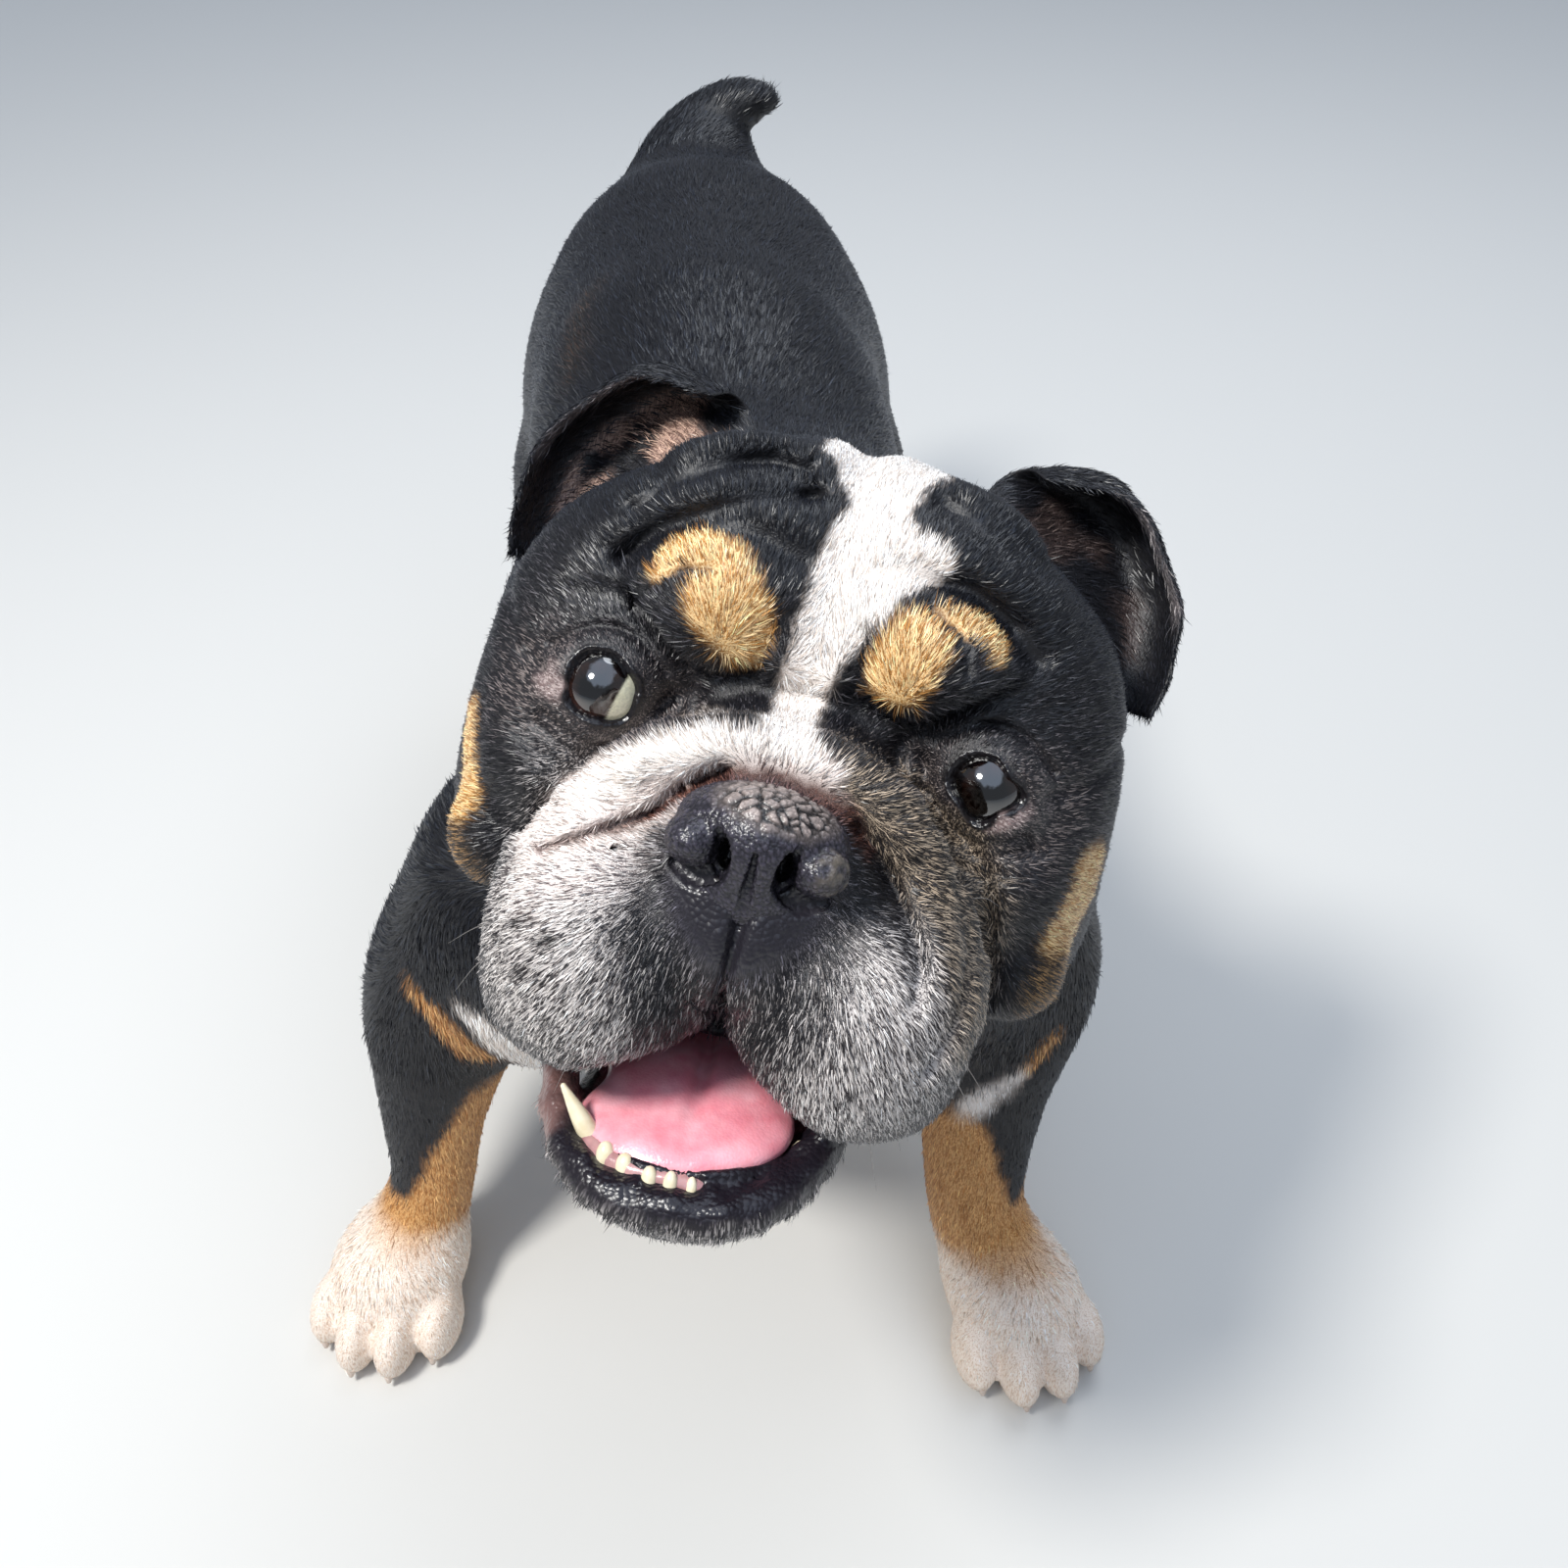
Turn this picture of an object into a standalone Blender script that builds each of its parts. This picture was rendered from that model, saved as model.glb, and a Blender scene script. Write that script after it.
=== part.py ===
"""A standing English bulldog, life size, looking up with its head tipped to one side and its mouth open.

The flesh is built up as a clay model is: named masses melt into one another, hollows are pressed in and
folds are laid on. One closed skin is drawn round all of it, and thin cuts then part that skin into head, neck,
torso, legs, tail and jaw. Ears, eyes, nose, tongue and teeth are pieces of their own.
Metres, +Z up, the dog faces -Y, and its left side is +X.
"""

from math import cos, pi, radians, sin

import bmesh
import bpy
import numpy as np
from mathutils import Matrix, Vector

# Driving dimensions
GAP = 0.0003
SKIN_CELL = 0.0025
SKIN_TRIANGLES = (10000, 6400)
EYE_HEIGHT = 0.370
SHOULDER_SHIFT = 0.011
FLOOR_CUT = 0.0015
EYE_APART = 0.105
EYE_RADIUS = 0.0115
HEAD_TURN = (33.9, 12.1, -6.8)
HEAD_PLACE = (0.021, -0.270, EYE_HEIGHT)
# From the frame that the dog is modelled in to its own, whose origin is on the floor under its middle
RECENTRE = (0.012, 0.038, -FLOOR_CUT)

FAR = 0.1
PAD = 0.055


def turned(degrees_xyz):
    """The matrix that turns about X, then Y, then Z."""
    x, y, z = (radians(angle) for angle in degrees_xyz)
    about_x = np.array([[1, 0, 0], [0, cos(x), -sin(x)], [0, sin(x), cos(x)]])
    about_y = np.array([[cos(y), 0, sin(y)], [0, 1, 0], [-sin(y), 0, cos(y)]])
    about_z = np.array([[cos(z), -sin(z), 0], [sin(z), cos(z), 0], [0, 0, 1]])
    return about_z @ about_y @ about_x


def head_axes():
    """The head's own axes: rolled about its nose, then lifted to look up, then turned to the dog's right."""
    lift, roll, turn = HEAD_TURN
    return turned((0, 0, turn)) @ turned((-lift, 0, 0)) @ turned((0, roll, 0))


def into_head(points):
    """World points in the head's frame, whose origin is midway between the eyes."""
    return (points - np.array(HEAD_PLACE)) @ head_axes()


def out_of_head(points):
    """Head-frame points in the world."""
    return np.asarray(points) @ head_axes().T + np.array(HEAD_PLACE)


def mirrored(points, middle=0.0):
    """Points folded onto the left half, so that one mass serves both sides. middle is where each would fold."""
    folded = points.copy()
    folded[:, 0] = np.abs(folded[:, 0] - middle)
    return folded


def lean(points):
    """How far the middle of the body is to the left, because the dog shifts its shoulders over its left leg."""
    share = np.clip((0.10 - points[:, 1]) / 0.20, 0.0, 1.0)
    return SHOULDER_SHIFT * share * share * (3 - 2 * share)


def melt(a, b, blend):
    """The union of two distances, rounded where they meet over a width of blend."""
    share = np.clip(0.5 + 0.5 * (b - a) / blend, 0.0, 1.0)
    return b + (a - b) * share - blend * share * (1.0 - share)


def press(a, b, blend):
    """Distance a with shape b pressed out of it, its rim rounded over blend."""
    return -melt(-a, b, blend)


def ellipsoid(points, centre, radii, turn=(0, 0, 0)):
    """Distance to an ellipsoid, close to true near its surface."""
    local = (points - np.array(centre)) @ turned(turn) / np.array(radii)
    length = np.linalg.norm(local, axis=1)
    slope = np.linalg.norm(local / np.array(radii), axis=1)
    return length * (length - 1.0) / np.maximum(slope, 1e-9)


def smooth_path(points, radii, steps=8):
    """A Catmull-Rom curve through the points, with radii to match."""
    knots = np.column_stack([points, radii]).astype(float)
    padded = np.vstack([2 * knots[0] - knots[1], knots, 2 * knots[-1] - knots[-2]])
    rows = []
    for i in range(len(knots) - 1):
        a, b, c, d = padded[i : i + 4]
        for t in np.arange(steps) / steps:
            square, cube = 2 * a - 5 * b + 4 * c - d, 3 * b - a - 3 * c + d
            rows.append(0.5 * (2 * b + (c - a) * t + square * t**2 + cube * t**3))
    rows.append(knots[-1])
    rows = np.array(rows)
    return rows[:, :3], rows[:, 3]


def limb(points, path, radii, squash=(1, 1, 1)):
    """Distance to a limb that follows the path with those radii. squash widens it along the world axes."""
    line, thick = smooth_path(path, radii)
    scale = np.array(squash, float)
    line, points = line / scale, points / scale
    found = np.full(len(points), FAR)
    for a, b, ra, rb in zip(line[:-1], line[1:], thick[:-1], thick[1:]):
        run = b - a
        t = np.clip((points - a) @ run / (run @ run), 0.0, 1.0)
        away = np.linalg.norm(points - a - t[:, None] * run, axis=1)
        found = np.minimum(found, away - ra - t * (rb - ra))
    return found


class Clay:
    """Distances at some points to what has been built so far."""

    def __init__(self, points):
        self.points = points
        self.depth = np.full(len(points), FAR)

    def near(self, places, reach):
        places = np.atleast_2d(places)
        low, high = places.min(0) - reach - PAD, places.max(0) + reach + PAD
        return ((self.points > low) & (self.points < high)).all(1)

    def mass(self, centre, radii, turn, blend):
        near = self.near(centre, max(radii))
        if near.any():
            self.depth[near] = melt(self.depth[near], ellipsoid(self.points[near], centre, radii, turn), blend)

    def hollow(self, centre, radii, turn, blend):
        near = self.near(centre, max(radii))
        if near.any():
            self.depth[near] = press(self.depth[near], ellipsoid(self.points[near], centre, radii, turn), blend)

    def limb(self, path, radii, blend, squash=(1, 1, 1)):
        near = self.near(path, max(radii) * max(squash))
        if near.any():
            self.depth[near] = melt(self.depth[near], limb(self.points[near], path, radii, squash), blend)

    def channel(self, path, radii, blend):
        near = self.near(path, max(radii))
        if near.any():
            self.depth[near] = press(self.depth[near], limb(self.points[near], path, radii), blend)

    def crease(self, path, width, height):
        """A fold seen from the front of the head: raised where height is above 0, sunk where below."""
        front = self.points[:, 1] < 0.095
        fade = np.clip((0.095 - self.points[front, 1]) / 0.03, 0.0, 1.0)
        flat = self.points[front][:, [0, 2]]
        line, _ = smooth_path(np.column_stack([path, np.zeros(len(path))]), np.zeros(len(path)))
        away = np.full(len(flat), FAR)
        for a, b in zip(line[:-1, :2], line[1:, :2]):
            run = b - a
            t = np.clip((flat - a) @ run / (run @ run), 0.0, 1.0)
            away = np.minimum(away, np.linalg.norm(flat - a - t[:, None] * run, axis=1))
        self.depth[front] -= height * fade * np.exp(-((away / width) ** 2))


# Name, centre, radii, turn in degrees about X, Y and Z, and the width over which it melts into the rest.
# Each is mirrored, so the centres give the left side.
BODY_MASSES = (
    ("rib cage", (0.000, -0.055, 0.232), (0.088, 0.150, 0.116), (5, 0, 0), 0.02),
    ("barrel", (0.000, -0.050, 0.196), (0.098, 0.130, 0.085), (5, 0, 0), 0.03),
    ("brisket", (0.000, -0.158, 0.182), (0.084, 0.066, 0.084), (0, 0, 0), 0.04),
    ("shoulder", (0.085, -0.146, 0.186), (0.043, 0.062, 0.068), (-12, 0, 0), 0.03),
    ("withers", (0.000, -0.110, 0.296), (0.066, 0.090, 0.064), (0, 0, 0), 0.04),
    ("loin", (0.000, 0.070, 0.276), (0.086, 0.130, 0.094), (-4, 0, 0), 0.04),
    ("belly", (0.000, 0.045, 0.195), (0.078, 0.125, 0.060), (8, 0, 0), 0.03),
    ("rump", (0.000, 0.172, 0.270), (0.090, 0.100, 0.094), (-14, 0, 0), 0.04),
    ("croup", (0.000, 0.208, 0.300), (0.060, 0.058, 0.056), (0, 0, 0), 0.04),
    ("thigh", (0.060, 0.188, 0.198), (0.042, 0.078, 0.100), (14, 0, 0), 0.03),
)

# Frame of the head: origin midway between the eyes, -Y out of the face, +Z up the forehead.
HEAD_MASSES = (
    ("cranium", (0.000, 0.060, 0.025), (0.075, 0.074, 0.061), (0, 0, 0), 0.01),
    ("forehead", (0.028, 0.024, 0.040), (0.037, 0.034, 0.038), (0, 0, 0), 0.012),
    ("temple", (0.058, 0.046, 0.020), (0.033, 0.044, 0.038), (0, 0, 0), 0.015),
    ("brow", (0.031, -0.002, 0.029), (0.021, 0.017, 0.018), (0, 0, 0), 0.006),
    ("cheek", (0.063, 0.048, -0.018), (0.034, 0.046, 0.044), (0, 0, 0), 0.02),
    ("cheekbone", (0.053, 0.016, -0.020), (0.026, 0.022, 0.022), (0, 0, 0), 0.012),
    ("bridge", (0.000, -0.014, -0.014), (0.036, 0.034, 0.022), (0, 0, 0), 0.010),
    ("muzzle", (0.000, -0.012, -0.036), (0.054, 0.048, 0.040), (0, 0, 0), 0.012),
    ("flew", (0.032, -0.033, -0.054), (0.031, 0.034, 0.036), (0, 0, -14), 0.007),
    ("nose bed", (0.000, -0.045, -0.024), (0.030, 0.020, 0.020), (0, 0, 0), 0.008),
    ("hanging lip", (0.043, -0.019, -0.070), (0.020, 0.028, 0.021), (0, 0, 0), 0.008),
    ("throat", (0.000, 0.045, -0.072), (0.054, 0.056, 0.036), (0, 0, 0), 0.020),
    ("jaw hinge", (0.046, 0.030, -0.076), (0.022, 0.040, 0.022), (0, 0, 0), 0.015),
    ("dewlap", (0.012, 0.078, -0.080), (0.042, 0.050, 0.038), (0, 0, 0), 0.020),
    ("nape", (0.020, 0.108, 0.046), (0.044, 0.036, 0.040), (0, 0, 0), 0.012),
    ("cheek lobe", (0.075, 0.030, -0.049), (0.017, 0.020, 0.017), (0, 0, 0), 0.008),
    ("cheek fold", (0.081, 0.056, -0.028), (0.017, 0.022, 0.034), (0, -12, 0), 0.008),
    ("lid mound", (0.0525, 0.0030, 0.002), (0.0175, 0.0162, 0.0160), (0, 0, 0), 0.008),
)
# The jaw hangs open, tipped a little down on its right side.
JAW_TIP = (0, -7, 0)
JAW_PIVOT = (0.000, 0.000, -0.100)
JAW_MASSES = (
    ("jaw", (0.000, -0.008, -0.104), (0.035, 0.047, 0.0150), (-6, 0, 0), 0.010),
    ("chin", (0.000, -0.041, -0.1140), (0.023, 0.016, 0.0085), (0, 0, 0), 0.006),
    ("under jaw", (0.000, 0.030, -0.092), (0.038, 0.044, 0.0200), (-14, 0, 0), 0.015),
)
LOWER_LIP_PATH = (
    (0.000, -0.0545, -0.1105),
    (0.014, -0.0525, -0.1100),
    (0.026, -0.0440, -0.1060),
    (0.034, -0.0280, -0.0980),
    (0.0385, -0.0080, -0.0900),
)
LOWER_LIP_RADII = (0.0065, 0.0065, 0.0062, 0.0060, 0.0055)
NOSE_ROLL_PATH = (
    (0.000, -0.0430, 0.0010),
    (0.014, -0.0440, 0.0005),
    (0.030, -0.0420, -0.0070),
    (0.044, -0.0360, -0.0190),
    (0.0545, -0.0270, -0.0350),
    (0.0600, -0.0170, -0.0540),
    (0.0600, -0.0110, -0.0680),
)
NOSE_ROLL_RADII = (0.0092, 0.0095, 0.0095, 0.0090, 0.0080, 0.0070, 0.0055)
# Path as seen from the front (x, z), half width, and height above the face or depth below it.
FACE_FOLDS = (
    (((0.000, 0.090), (0.000, 0.055), (0.000, 0.014)), 0.0070, -0.0035),
    (((0.000, 0.0135), (0.022, 0.0110), (0.037, 0.0010), (0.050, -0.0160), (0.0600, -0.034)), 0.0038, -0.0035),
    (((0.010, 0.046), (0.024, 0.0500), (0.042, 0.046), (0.056, 0.036)), 0.0040, -0.0030),
    (((0.012, 0.064), (0.030, 0.0680), (0.052, 0.060)), 0.0050, -0.0030),
    (((0.012, 0.028), (0.014, 0.012), (0.024, 0.004)), 0.0040, -0.0020),
    (((0.000, -0.030), (0.000, -0.050), (0.000, -0.075)), 0.0022, -0.0050),
    (((0.018, -0.0190), (0.032, -0.0240), (0.043, -0.0380)), 0.0030, -0.0018),
    (((0.038, -0.0125), (0.052, -0.0165), (0.066, -0.0120)), 0.0030, -0.0015),
)
EYE_PLACE = (EYE_APART / 2, 0.0015, 0.002)
LID_OPENING = ((0.0525, -0.0140, 0.0020), (0.0098, 0.0140, 0.0090))
LID_CORNERS = ((0.0415, -0.0135, -0.0005), (0.0525, -0.0160, 0.0010), (0.0640, -0.0110, 0.0005))


def head_clay(points):
    """Distances to the head and jaw, in the head's frame."""
    upper = Clay(mirrored(points))
    for _, centre, radii, turn, blend in HEAD_MASSES:
        upper.mass(centre, radii, turn, blend)
    upper.limb(NOSE_ROLL_PATH, NOSE_ROLL_RADII, 0.004)
    for path, width, height in FACE_FOLDS:
        upper.crease(path, width, height)
    upper.hollow(*LID_OPENING, (0, 0, 0), 0.0015)
    upper.channel(LID_CORNERS, (0.0012, 0.0040, 0.0012), 0.0015)
    upper.hollow((0.0, -0.034, -0.0945), (0.031, 0.044, 0.0190), (0, 0, 0), 0.006)
    jaw = jaw_clay((points - np.array(JAW_PIVOT)) @ turned(JAW_TIP) + np.array(JAW_PIVOT))
    return melt(upper.depth, jaw, 0.004)


def jaw_clay(points):
    """Distances to the jaw, in its own frame."""
    clay = Clay(mirrored(points))
    for _, centre, radii, turn, blend in JAW_MASSES:
        clay.mass(centre, radii, turn, blend)
    clay.limb(LOWER_LIP_PATH, LOWER_LIP_RADII, 0.003)
    clay.hollow((0.0, -0.021, -0.0930), (0.029, 0.034, 0.0130), (4, 0, 0), 0.004)
    return clay.depth


def paw(clay, place, heading, size):
    """A paw on the floor: the pad and four arched toes, the middle two longest."""
    turn = turned((0, 0, heading))
    at = lambda across, ahead, up: np.array(place) + turn @ np.array((across, -ahead, up)) * size
    clay.mass(at(0, 0.002, 0.024), np.array((0.030, 0.032, 0.026)) * size, (0, 0, heading), 0.012)
    for across, ahead in ((-0.0245, 0.020), (-0.0085, 0.031), (0.0085, 0.031), (0.0245, 0.020)):
        clay.mass(at(across, ahead, 0.0155), np.array((0.0098, 0.0175, 0.0165)) * size, (0, 0, heading), 0.003)
        claw = [at(across, ahead + on, up) for on, up in ((0.0100, 0.0150), (0.0170, 0.0115), (0.0205, 0.0055))]
        clay.limb(claw, np.array((0.0036, 0.0030, 0.0014)) * size, 0.001)


# Each leg: its path from the shoulder or thigh down to the wrist, the radii, the paw's place, heading and size.
LEGS = {
    "leg_front_left": (
        ((0.094, -0.148, 0.208), (0.119, -0.152, 0.152), (0.110, -0.180, 0.100), (0.106, -0.205, 0.060),
         (0.114, -0.218, 0.032)),
        (0.044, 0.041, 0.029, 0.0225, 0.0240),
        (0.122, -0.233, 0.0), 10, 1.0,
    ),
    "leg_front_right": (
        ((-0.080, -0.148, 0.204), (-0.114, -0.152, 0.148), (-0.127, -0.172, 0.100), (-0.132, -0.186, 0.062),
         (-0.143, -0.195, 0.032)),
        (0.044, 0.038, 0.0250, 0.0195, 0.0230),
        (-0.150, -0.206, 0.0), -12, 1.0,
    ),
    "leg_hind_left": (
        ((0.062, 0.175, 0.200), (0.072, 0.165, 0.152), (0.074, 0.226, 0.112), (0.076, 0.246, 0.080),
         (0.078, 0.232, 0.035)),
        (0.048, 0.042, 0.027, 0.0225, 0.0220),
        (0.080, 0.218, 0.0), 10, 0.94,
    ),
    "leg_hind_right": (
        ((-0.062, 0.175, 0.200), (-0.072, 0.165, 0.152), (-0.074, 0.226, 0.112), (-0.076, 0.246, 0.080),
         (-0.078, 0.232, 0.035)),
        (0.048, 0.042, 0.027, 0.0225, 0.0220),
        (-0.080, 0.218, 0.0), -10, 0.94,
    ),
}
NECK_PATH = ((0.000, -0.100, 0.262), (0.004, -0.155, 0.290), (0.012, -0.195, 0.320))
NECK_RADII = (0.086, 0.084, 0.078)
TAIL_PATH = (
    (-0.002, 0.225, 0.316),
    (-0.002, 0.260, 0.340),
    (0.004, 0.281, 0.357),
    (0.020, 0.286, 0.369),
    (0.031, 0.283, 0.372),
)
TAIL_RADII = (0.038, 0.030, 0.021, 0.0165, 0.0120)


def dog_clay(points):
    """Distances from world points to the whole dog, without ears and the other separate pieces."""
    torso = Clay(mirrored(points, lean(points)))
    for _, centre, radii, turn, blend in BODY_MASSES:
        torso.mass(centre, radii, turn, blend)
    clay = Clay(points)
    clay.depth = torso.depth
    clay.limb(NECK_PATH, NECK_RADII, 0.035)
    for path, radii, place, heading, size in LEGS.values():
        clay.limb(path, radii, 0.018)
        paw(clay, place, heading, size)
    clay.limb(TAIL_PATH, TAIL_RADII, 0.020, (1.25, 1, 0.8))
    return melt(clay.depth, head_clay(into_head(points)), 0.012)


# The nose: pad, tip, wings and the base that runs down between the lips.
NOSE_MASSES = (
    ("pad", (0.0000, -0.0560, -0.0162), (0.0205, 0.0150, 0.0115), (0, 0, 0), 0.003),
    ("tip", (0.0000, -0.0640, -0.0175), (0.0100, 0.0072, 0.0100), (0, 0, 0), 0.006),
    ("wing", (0.0158, -0.0605, -0.0212), (0.0074, 0.0092, 0.0072), (0, 0, 0), 0.0016),
    ("base", (0.0000, -0.0535, -0.0290), (0.0165, 0.0142, 0.0120), (0, 0, 0), 0.006),
)
NOSTRIL = ((0.0094, -0.0715, -0.0212), (0.0030, 0.0120, 0.0058))
NOSTRIL_SLIT = ((0.0094, -0.0712, -0.0235), (0.0122, -0.0705, -0.0286), (0.0190, -0.0655, -0.0296))
NOSTRIL_SLIT_RADII = (0.0030, 0.0026, 0.0012)


def nose_clay(points):
    """Distances to the nose, in the head's frame."""
    clay = Clay(mirrored(points))
    for _, centre, radii, turn, blend in NOSE_MASSES:
        clay.mass(centre, radii, turn, blend)
    clay.hollow(*NOSTRIL, (0, -14, 14), 0.0015)
    clay.channel(NOSTRIL_SLIT, NOSTRIL_SLIT_RADII, 0.0015)
    clay.channel(((0, -0.0725, -0.0200), (0, -0.0685, -0.0320), (0, -0.0650, -0.0480)), (0.0012,) * 3, 0.0015)
    return clay.depth


TONGUE_MASSES = (
    ("blade", (0.0000, -0.0290, -0.0945), (0.0262, 0.0205, 0.0065), (18, 0, 0), 0.006),
    ("root", (0.0000, -0.0050, -0.0900), (0.0250, 0.0280, 0.0085), (6, 0, 0), 0.006),
)


def tongue_clay(points):
    """Distances to the tongue, in the jaw's frame."""
    clay = Clay(mirrored(points))
    for _, centre, radii, turn, blend in TONGUE_MASSES:
        clay.mass(centre, radii, turn, blend)
    clay.channel(((0, -0.0540, -0.0960), (0, -0.0300, -0.0865), (0, 0.0100, -0.0795)), (0.0016,) * 3, 0.003)
    return clay.depth


GUM_PATH = (
    (0.000, -0.0520, -0.1065),
    (0.013, -0.0495, -0.1060),
    (0.026, -0.0400, -0.1045),
    (0.032, -0.0220, -0.0985),
)
INCISORS = ((0.0028, -0.0520), (0.0084, -0.0505), (0.0136, -0.0475))
CANINE_PATH = ((0.0282, -0.0385, -0.1030), (0.0295, -0.0390, -0.0965), (0.0305, -0.0380, -0.0890))


def teeth_clay(points):
    """Distances to the lower gum with six incisors and two canines, in the jaw's frame."""
    clay = Clay(mirrored(points))
    clay.limb(GUM_PATH, (0.0034, 0.0034, 0.0034, 0.0032), 0.002)
    for x, y in INCISORS:
        clay.mass((x, y, -0.1022), (0.0023, 0.0021, 0.0048), (-8, 0, 0), 0.0008)
    clay.limb(CANINE_PATH, (0.0038, 0.0034, 0.0012), 0.001)
    return clay.depth


# The left ear as a net of points in the head's frame. Rows run from the skull out over the fold to the free
# edge, and columns run from the top of the skull down to the tip.
EAR_NET = (
    ((34, 63, 76), (54, 66, 67), (70, 68, 52), (79, 66, 36), (82, 64, 26)),
    ((40, 72, 87), (65, 84, 86), (86, 84, 66), (92, 76, 42), (90, 66, 28)),
    ((47, 68, 91), (75, 78, 93), (97, 77, 69), (101, 70, 44), (96, 60, 28)),
    ((52, 56, 88), (78, 60, 88), (98, 58, 65), (102, 54, 43), (100, 51, 28)),
)
EAR_NET_UNIT = 0.001
EAR_THICK = 0.0050
EAR_GAP = 0.0005
RIGHT_EAR_NEARER = 0.972


def net_surface(net, across, along):
    """Points and normals on a smooth sheet through the net."""
    rows = np.array([smooth_path(row, np.zeros(len(row)), along)[0] for row in net])
    columns = [smooth_path(rows[:, i], np.zeros(len(net)), across)[0] for i in range(rows.shape[1])]
    sheet = np.array(columns).transpose(1, 0, 2)
    normals = np.cross(np.gradient(sheet, axis=1), np.gradient(sheet, axis=0))
    return sheet, normals / np.linalg.norm(normals, axis=2)[:, :, None]


def ear_shell(side):
    """A closed leaf of skin: the net's sheet given thickness, thinner towards its free edge."""
    sheet, normals = net_surface(np.array(EAR_NET) * EAR_NET_UNIT, 3, 3)
    rows, columns = sheet.shape[:2]
    out, along = np.linspace(0, 1, rows)[:, None], np.linspace(-1, 1, columns)[None, :]
    half = (EAR_THICK / 2 * (1 - 0.45 * out) * (1 - 0.5 * np.abs(along) ** 6))[:, :, None]
    front, back = (sheet + normals * half).reshape(-1, 3), (sheet - normals * half).reshape(-1, 3)
    points = np.vstack([front, back]) * (side if side > 0 else side * RIGHT_EAR_NEARER, 1, 1)
    total = rows * columns
    at = lambda r, c: r * columns + c
    faces = []
    for r in range(rows - 1):
        for c in range(columns - 1):
            quad = (at(r, c), at(r, c + 1), at(r + 1, c + 1), at(r + 1, c))
            faces += [quad, tuple(total + i for i in reversed(quad))]
    loop = [at(0, c) for c in range(columns)] + [at(r, columns - 1) for r in range(1, rows)]
    loop += [at(rows - 1, c) for c in range(columns - 2, -1, -1)] + [at(r, 0) for r in range(rows - 2, 0, -1)]
    faces += [(b, a, total + a, total + b) for a, b in zip(loop, loop[1:] + loop[:1])]
    return points, faces


CORNERS = np.array([(i, j, k) for i in (0, 1) for j in (0, 1) for k in (0, 1)])


def crossed_cells(field, low, high, cell, halvings=3):
    """Cells of that size that the surface of the field crosses, found by halving coarse ones."""
    size = cell * 2**halvings
    spans = [np.arange(np.floor(a / size), np.ceil(b / size)) for a, b in zip(low, high)]
    cells = np.stack(np.meshgrid(*spans, indexing="ij"), -1).reshape(-1, 3).astype(int)
    for level in range(halvings, -1, -1):
        size = cell * 2**level
        near = np.abs(field((cells + 0.5) * size)) < 1.4 * size
        cells = cells[near]
        if level:
            cells = (cells[:, None] * 2 + CORNERS[None]).reshape(-1, 3)
    return cells


def skin_mesh(field, low, high, cell, level=0.0):
    """Surface nets: a vertex in each cell that the surface crosses, and a quad round each crossed cell edge."""
    cells = crossed_cells(lambda p: field(p) - level, low, high, cell)
    base = cells.min(0) - 1
    extent = cells.max(0) - base + 3
    key = lambda ijk: (ijk - base) @ np.array((extent[1] * extent[2], extent[2], 1))
    cells = cells[np.argsort(key(cells))]
    keys = key(cells)
    corners = cells[:, None] + CORNERS[None]
    unique, first, index = np.unique(key(corners).ravel(), return_index=True, return_inverse=True)
    values = (field(corners.reshape(-1, 3)[first] * cell) - level)[index].reshape(-1, 8)
    total, count = np.zeros((len(cells), 3)), np.zeros(len(cells))
    for a in range(8):
        for b in range(a + 1, 8):
            if np.abs(CORNERS[a] - CORNERS[b]).sum() == 1:
                split = (values[:, a] < 0) != (values[:, b] < 0)
                t = values[split, a] / (values[split, a] - values[split, b])
                total[split] += CORNERS[a] + t[:, None] * (CORNERS[b] - CORNERS[a])
                count[split] += 1
    points = (cells + total / np.maximum(count, 1)[:, None]) * cell
    quads = []
    for axis in range(3):
        step = np.eye(3, dtype=int)
        far = 4 >> axis
        split = (values[:, 0] < 0) != (values[:, far] < 0)
        c = cells[split]
        u, v = step[(axis + 1) % 3], step[(axis + 2) % 3]
        ring = np.stack([np.searchsorted(keys, key(c - d)) for d in (0 * u, u, u + v, v)], 1)
        outward = values[split, 0] < 0
        quads.append(np.where(outward[:, None], ring, ring[:, ::-1]))
    quads = np.vstack(quads)
    used, quads = np.unique(quads, return_inverse=True)
    return points[used], quads.reshape(-1, 4)


def slope(field, points, step=0.0005):
    """The field's gradient, by central differences."""
    return np.stack([(field(points + d) - field(points - d)) / (2 * step) for d in np.eye(3) * step], 1)


def settled(field, points, level=0.0, rounds=2):
    """Points moved onto the surface along the gradient."""
    for _ in range(rounds):
        g = slope(field, points)
        points = points - g * ((field(points) - level) / np.maximum((g * g).sum(1), 0.1))[:, None]
    return points


def mesh_object(name, points, faces):
    """A new mesh object in the object's collection."""
    mesh = bpy.data.meshes.new(name)
    mesh.from_pydata(np.asarray(points).tolist(), [], np.asarray(faces).tolist())
    made = bpy.data.objects.new(name, mesh)
    dog.objects.link(made)
    return made


def finished(obj):
    """The object with its modifiers applied."""
    bpy.context.view_layer.update()
    mesh = bpy.data.meshes.new_from_object(obj.evaluated_get(bpy.context.evaluated_depsgraph_get()))
    obj.modifiers.clear()
    old, obj.data = obj.data, mesh
    bpy.data.meshes.remove(old)
    return obj


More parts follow.
